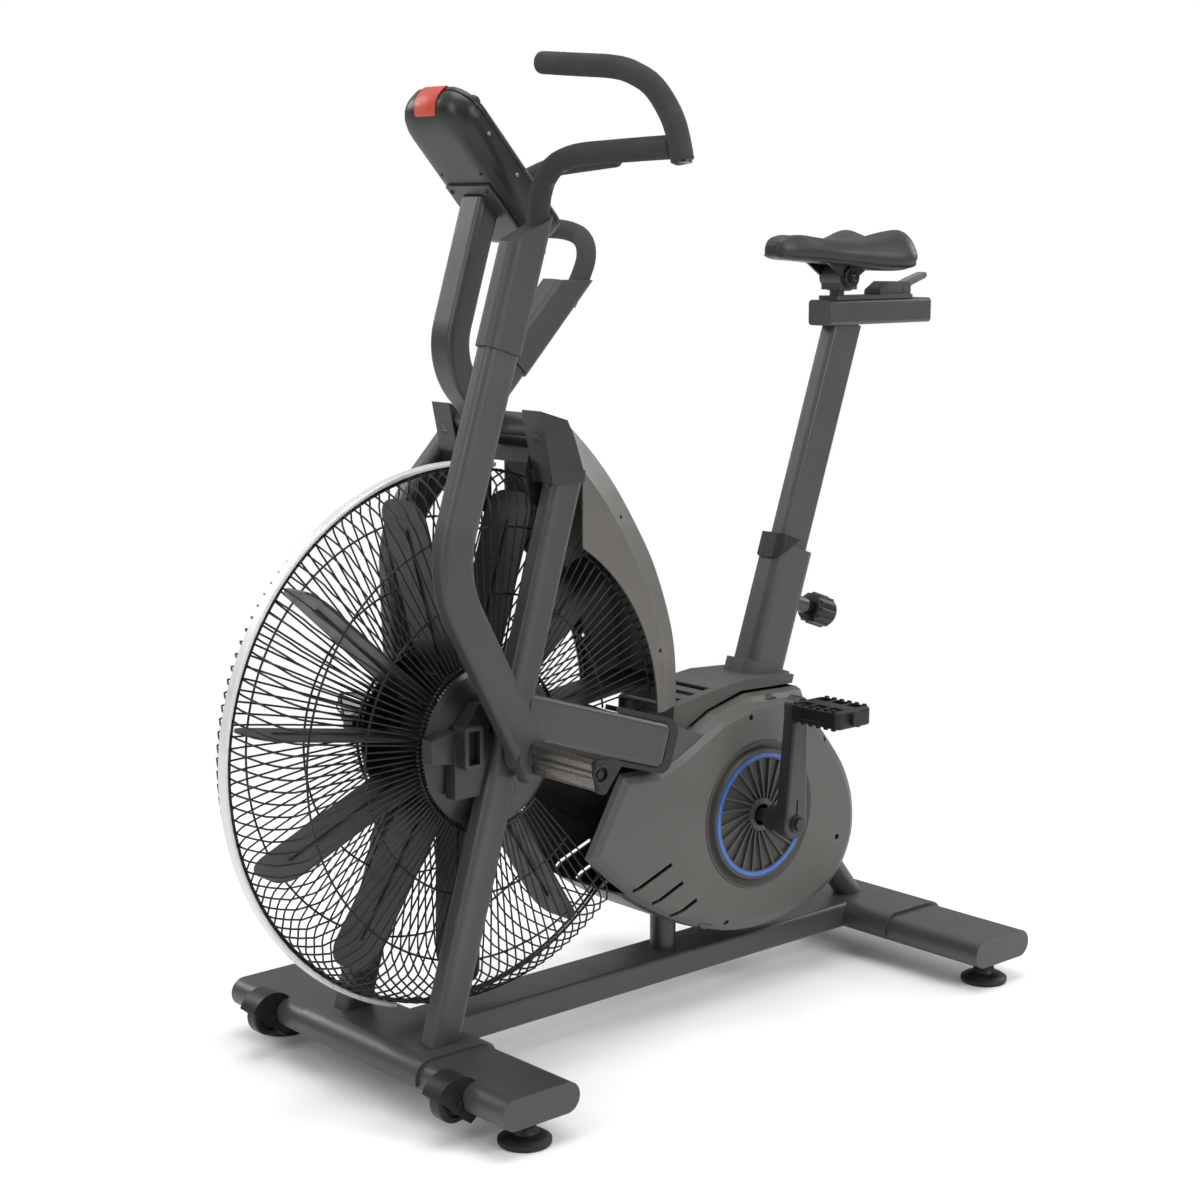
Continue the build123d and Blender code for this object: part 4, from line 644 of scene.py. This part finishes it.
def console_screws():
    for i, s in enumerate((60, 128, 196)):
        for sign, side in SIDES:
            # dark disc as painted shade inside the screw recess, and a steel head, in the side wall
            console_screw(f"side_well_{side[0]}{i}", s, sign * 66.75, -18.5, (0, sign, 0),
                          radius=0.0044, height=0.0006, mat="pan")
            console_screw(f"side_screw_{side[0]}{i}", s, sign * 66.9, -18.5, (0, sign, 0),
                          radius=0.0026, height=0.0013, mat="steel")
    for i, (s, y) in enumerate(((127, -36), (127, 36), (198, -36), (198, 36))):
        console_screw(f"plate_screw_{i}", s, y, -50.0, -CONSOLE_OUT,
                      radius=0.0032, height=0.0020, mat="bolt")
    for i, y in enumerate((-40, 40)):
        console_screw(f"back_screw_{i}", 102, y, -45.9, -CONSOLE_OUT,
                      radius=0.0024, height=0.0010, mat="pan")


def console_rest():
    """Short round stud by the top left corner of the face."""
    bm = bmesh.new()
    tube(bm, [on_console(26, -46, n) for n in (0.0, 5.0, 8.0, 9.4)],
         [0.0078, 0.0078, 0.0070, 0.0050], sides=28)
    attach(new_object("console_rest", bm, MATERIALS["black"], creased=True),
           "frame")


console_shell()
console_bezel()
console_catch()
console_screws()
console_rest()


# ------------------------------------------------- saddle clamp and foot pegs
def clamp_fastener(sign, side):
    """Washer and bolt on one side of the saddle clamp."""
    bm = bmesh.new()
    tube(bm, [place(851, sign * y, 1051) for y in (23.1, 24.0, 26.6, 27.3)],
         [0.0150, 0.0158, 0.0158, 0.0150], sides=40)
    washer = new_object("clamp_washer_" + side[0], bm, MATERIALS["bolt"], creased=True)
    attach(washer, "saddle_unit")
    screw("clamp_bolt_" + side[0], place(851, sign * 30.0, 1051), (0, sign, 0), radius=0.0070,
          height=0.0040, mat="bolt", body="saddle_unit")


def peg_ring(sign, side, end_y):
    """Thin ring on the end of a foot peg cap."""
    centre = Vector((ARM_PIVOT_X, sign * end_y, ARM_PIVOT_Z))
    steps = 48
    angles = [FULL_TURN * k / steps for k in range(steps + 1)]
    bm = bmesh.new()
    tube(bm, [centre + Vector((math.cos(a), 0, math.sin(a))) * 0.0112 for a in angles],
         0.0011, sides=8, caps=False)
    attach(new_object("peg_ring_" + side[0], bm, MATERIALS["bolt"]), "frame")


for sign, side in SIDES:
    clamp_fastener(sign, side)
peg_caps = frame["nodes"]["peg_caps"]
peg_end_y = max((peg_caps.matrix_world @ v.co).y for v in peg_caps.data.vertices)
for sign, side in SIDES:
    peg_ring(sign, side, peg_end_y)


# ---------------------------------------------------------------- stage, light
def build_floor():
    bm = bmesh.new()
    bmesh.ops.create_grid(bm, x_segments=2, y_segments=2, size=30)
    pale = material("floor_pale", (0.90, 0.90, 0.90), rough=0.55, tint_var=0.006, grain=60,
                    bump=0.004, rough_var=0.02, spec=0.25)
    floor = new_object("floor", bm, pale, smooth=False)
    floor.location = (0, 0, cad_box[0][2] - 0.0005)
    # to the camera the floor melts into the white backdrop, between 0.85 and 1.90 m out
    tree = pale.node_tree
    surface = tree.nodes["Material Output"].inputs[0]
    paint = surface.links[0].from_socket
    white = shade(tree, "Emission", {0: (1, 1, 1, 1), 1: 1.0})
    position = shade(tree, "NewGeometry", out="Position")
    distance = shade(tree, "VectorMath", {0: position}, out="Value", operation="LENGTH")
    fade = map_range(tree, distance, 0.0, 1.0, start=0.85, stop=1.90,
                     interpolation_type="SMOOTHERSTEP")
    seen = multiply(tree, fade, shade(tree, "LightPath", out="Is Camera Ray"))
    tree.links.new(shade(tree, "MixShader", {0: seen, 1: paint, 2: white}), surface)


def build_world():
    """White to the camera; a grey dome, brighter overhead, as light."""
    world = bpy.data.worlds.new("studio")
    bpy.context.scene.world = world
    world.use_nodes = True
    tree = world.node_tree
    tree.nodes.clear()
    height = shade(tree, "SeparateXYZ", {0: shade(tree, "TexCoord", out="Generated")}, out="Z")
    dome = shade(tree, "ValToRGB", {0: map_range(tree, height, 0.0, 1.0, start=-1, stop=1)})
    ramp = dome.node.color_ramp
    ramp.elements[0].position = 0.0
    ramp.elements[0].color = (0.20, 0.20, 0.20, 1)
    ramp.elements[1].position = 1.0
    ramp.elements[1].color = (0.90, 0.90, 0.90, 1)
    # height from nadir 0 to zenith 1, grey level
    for stop, grey in ((0.50, 0.20), (0.58, 0.26), (0.72, 0.62), (0.86, 0.85)):
        ramp.elements.new(stop).color = (grey, grey, grey * 1.01, 1)
    light = shade(tree, "Background", {0: dome, 1: 1.0})
    backdrop = shade(tree, "Background", {0: (1, 1, 1, 1), 1: 1.0})
    camera_ray = shade(tree, "LightPath", out="Is Camera Ray")
    mix = shade(tree, "MixShader", {0: camera_ray, 1: light, 2: backdrop})
    output = tree.nodes.new("ShaderNodeOutputWorld")
    tree.links.new(mix, output.inputs[0])


def area_light(name, location, target_z, size, power, color=(1, 1, 1), size_y=None):
    """Area light aimed at a height on the z axis."""
    light = bpy.data.lights.new(name, "AREA")
    light.energy = power
    light.size = size
    light.color = color
    if size_y:
        light.shape = "RECTANGLE"
        light.size_y = size_y
    obj = link_object(name, light)
    obj.location = location
    aim = Vector((0, 0, target_z)) - Vector(location)
    obj.rotation_euler = aim.to_track_quat("-Z", "Y").to_euler()


def build_camera():
    camera = bpy.data.cameras.new("camera")
    camera.lens = 66.41
    camera.sensor_width = 36
    camera.clip_end = 200
    obj = link_object("camera", camera)
    obj.location = place(-1670.4, -2272.8, 1121.2)
    # 9.5 degrees down, heading 48.14 degrees from +X towards +Y
    obj.rotation_euler = (math.radians(90 - 9.5), 0, math.radians(48.14 - 90))
    bpy.context.scene.camera = obj


build_floor()
build_world()
area_light("key", (0.6, -3.6, 2.5), target_z=0.55, size=1.5, power=72,
           color=(1.0, 0.995, 0.985), size_y=1.8)
area_light("front", (-3.4, -0.3, 2.2), target_z=0.6, size=0.9, power=34,
           color=(1.0, 0.965, 0.93), size_y=2.4)
area_light("back", (-1.4, 3.4, 2.6), target_z=0.7, size=1.4, power=40)
area_light("rear", (3.4, -0.6, 2.0), target_z=0.6, size=1.2, power=30)
area_light("top", (-0.1, -0.1, 4.0), target_z=0, size=2.4, power=64)
build_camera()
view = bpy.context.scene.view_settings
view.view_transform = "Standard"
view.look = "None"
view.exposure = 0.0
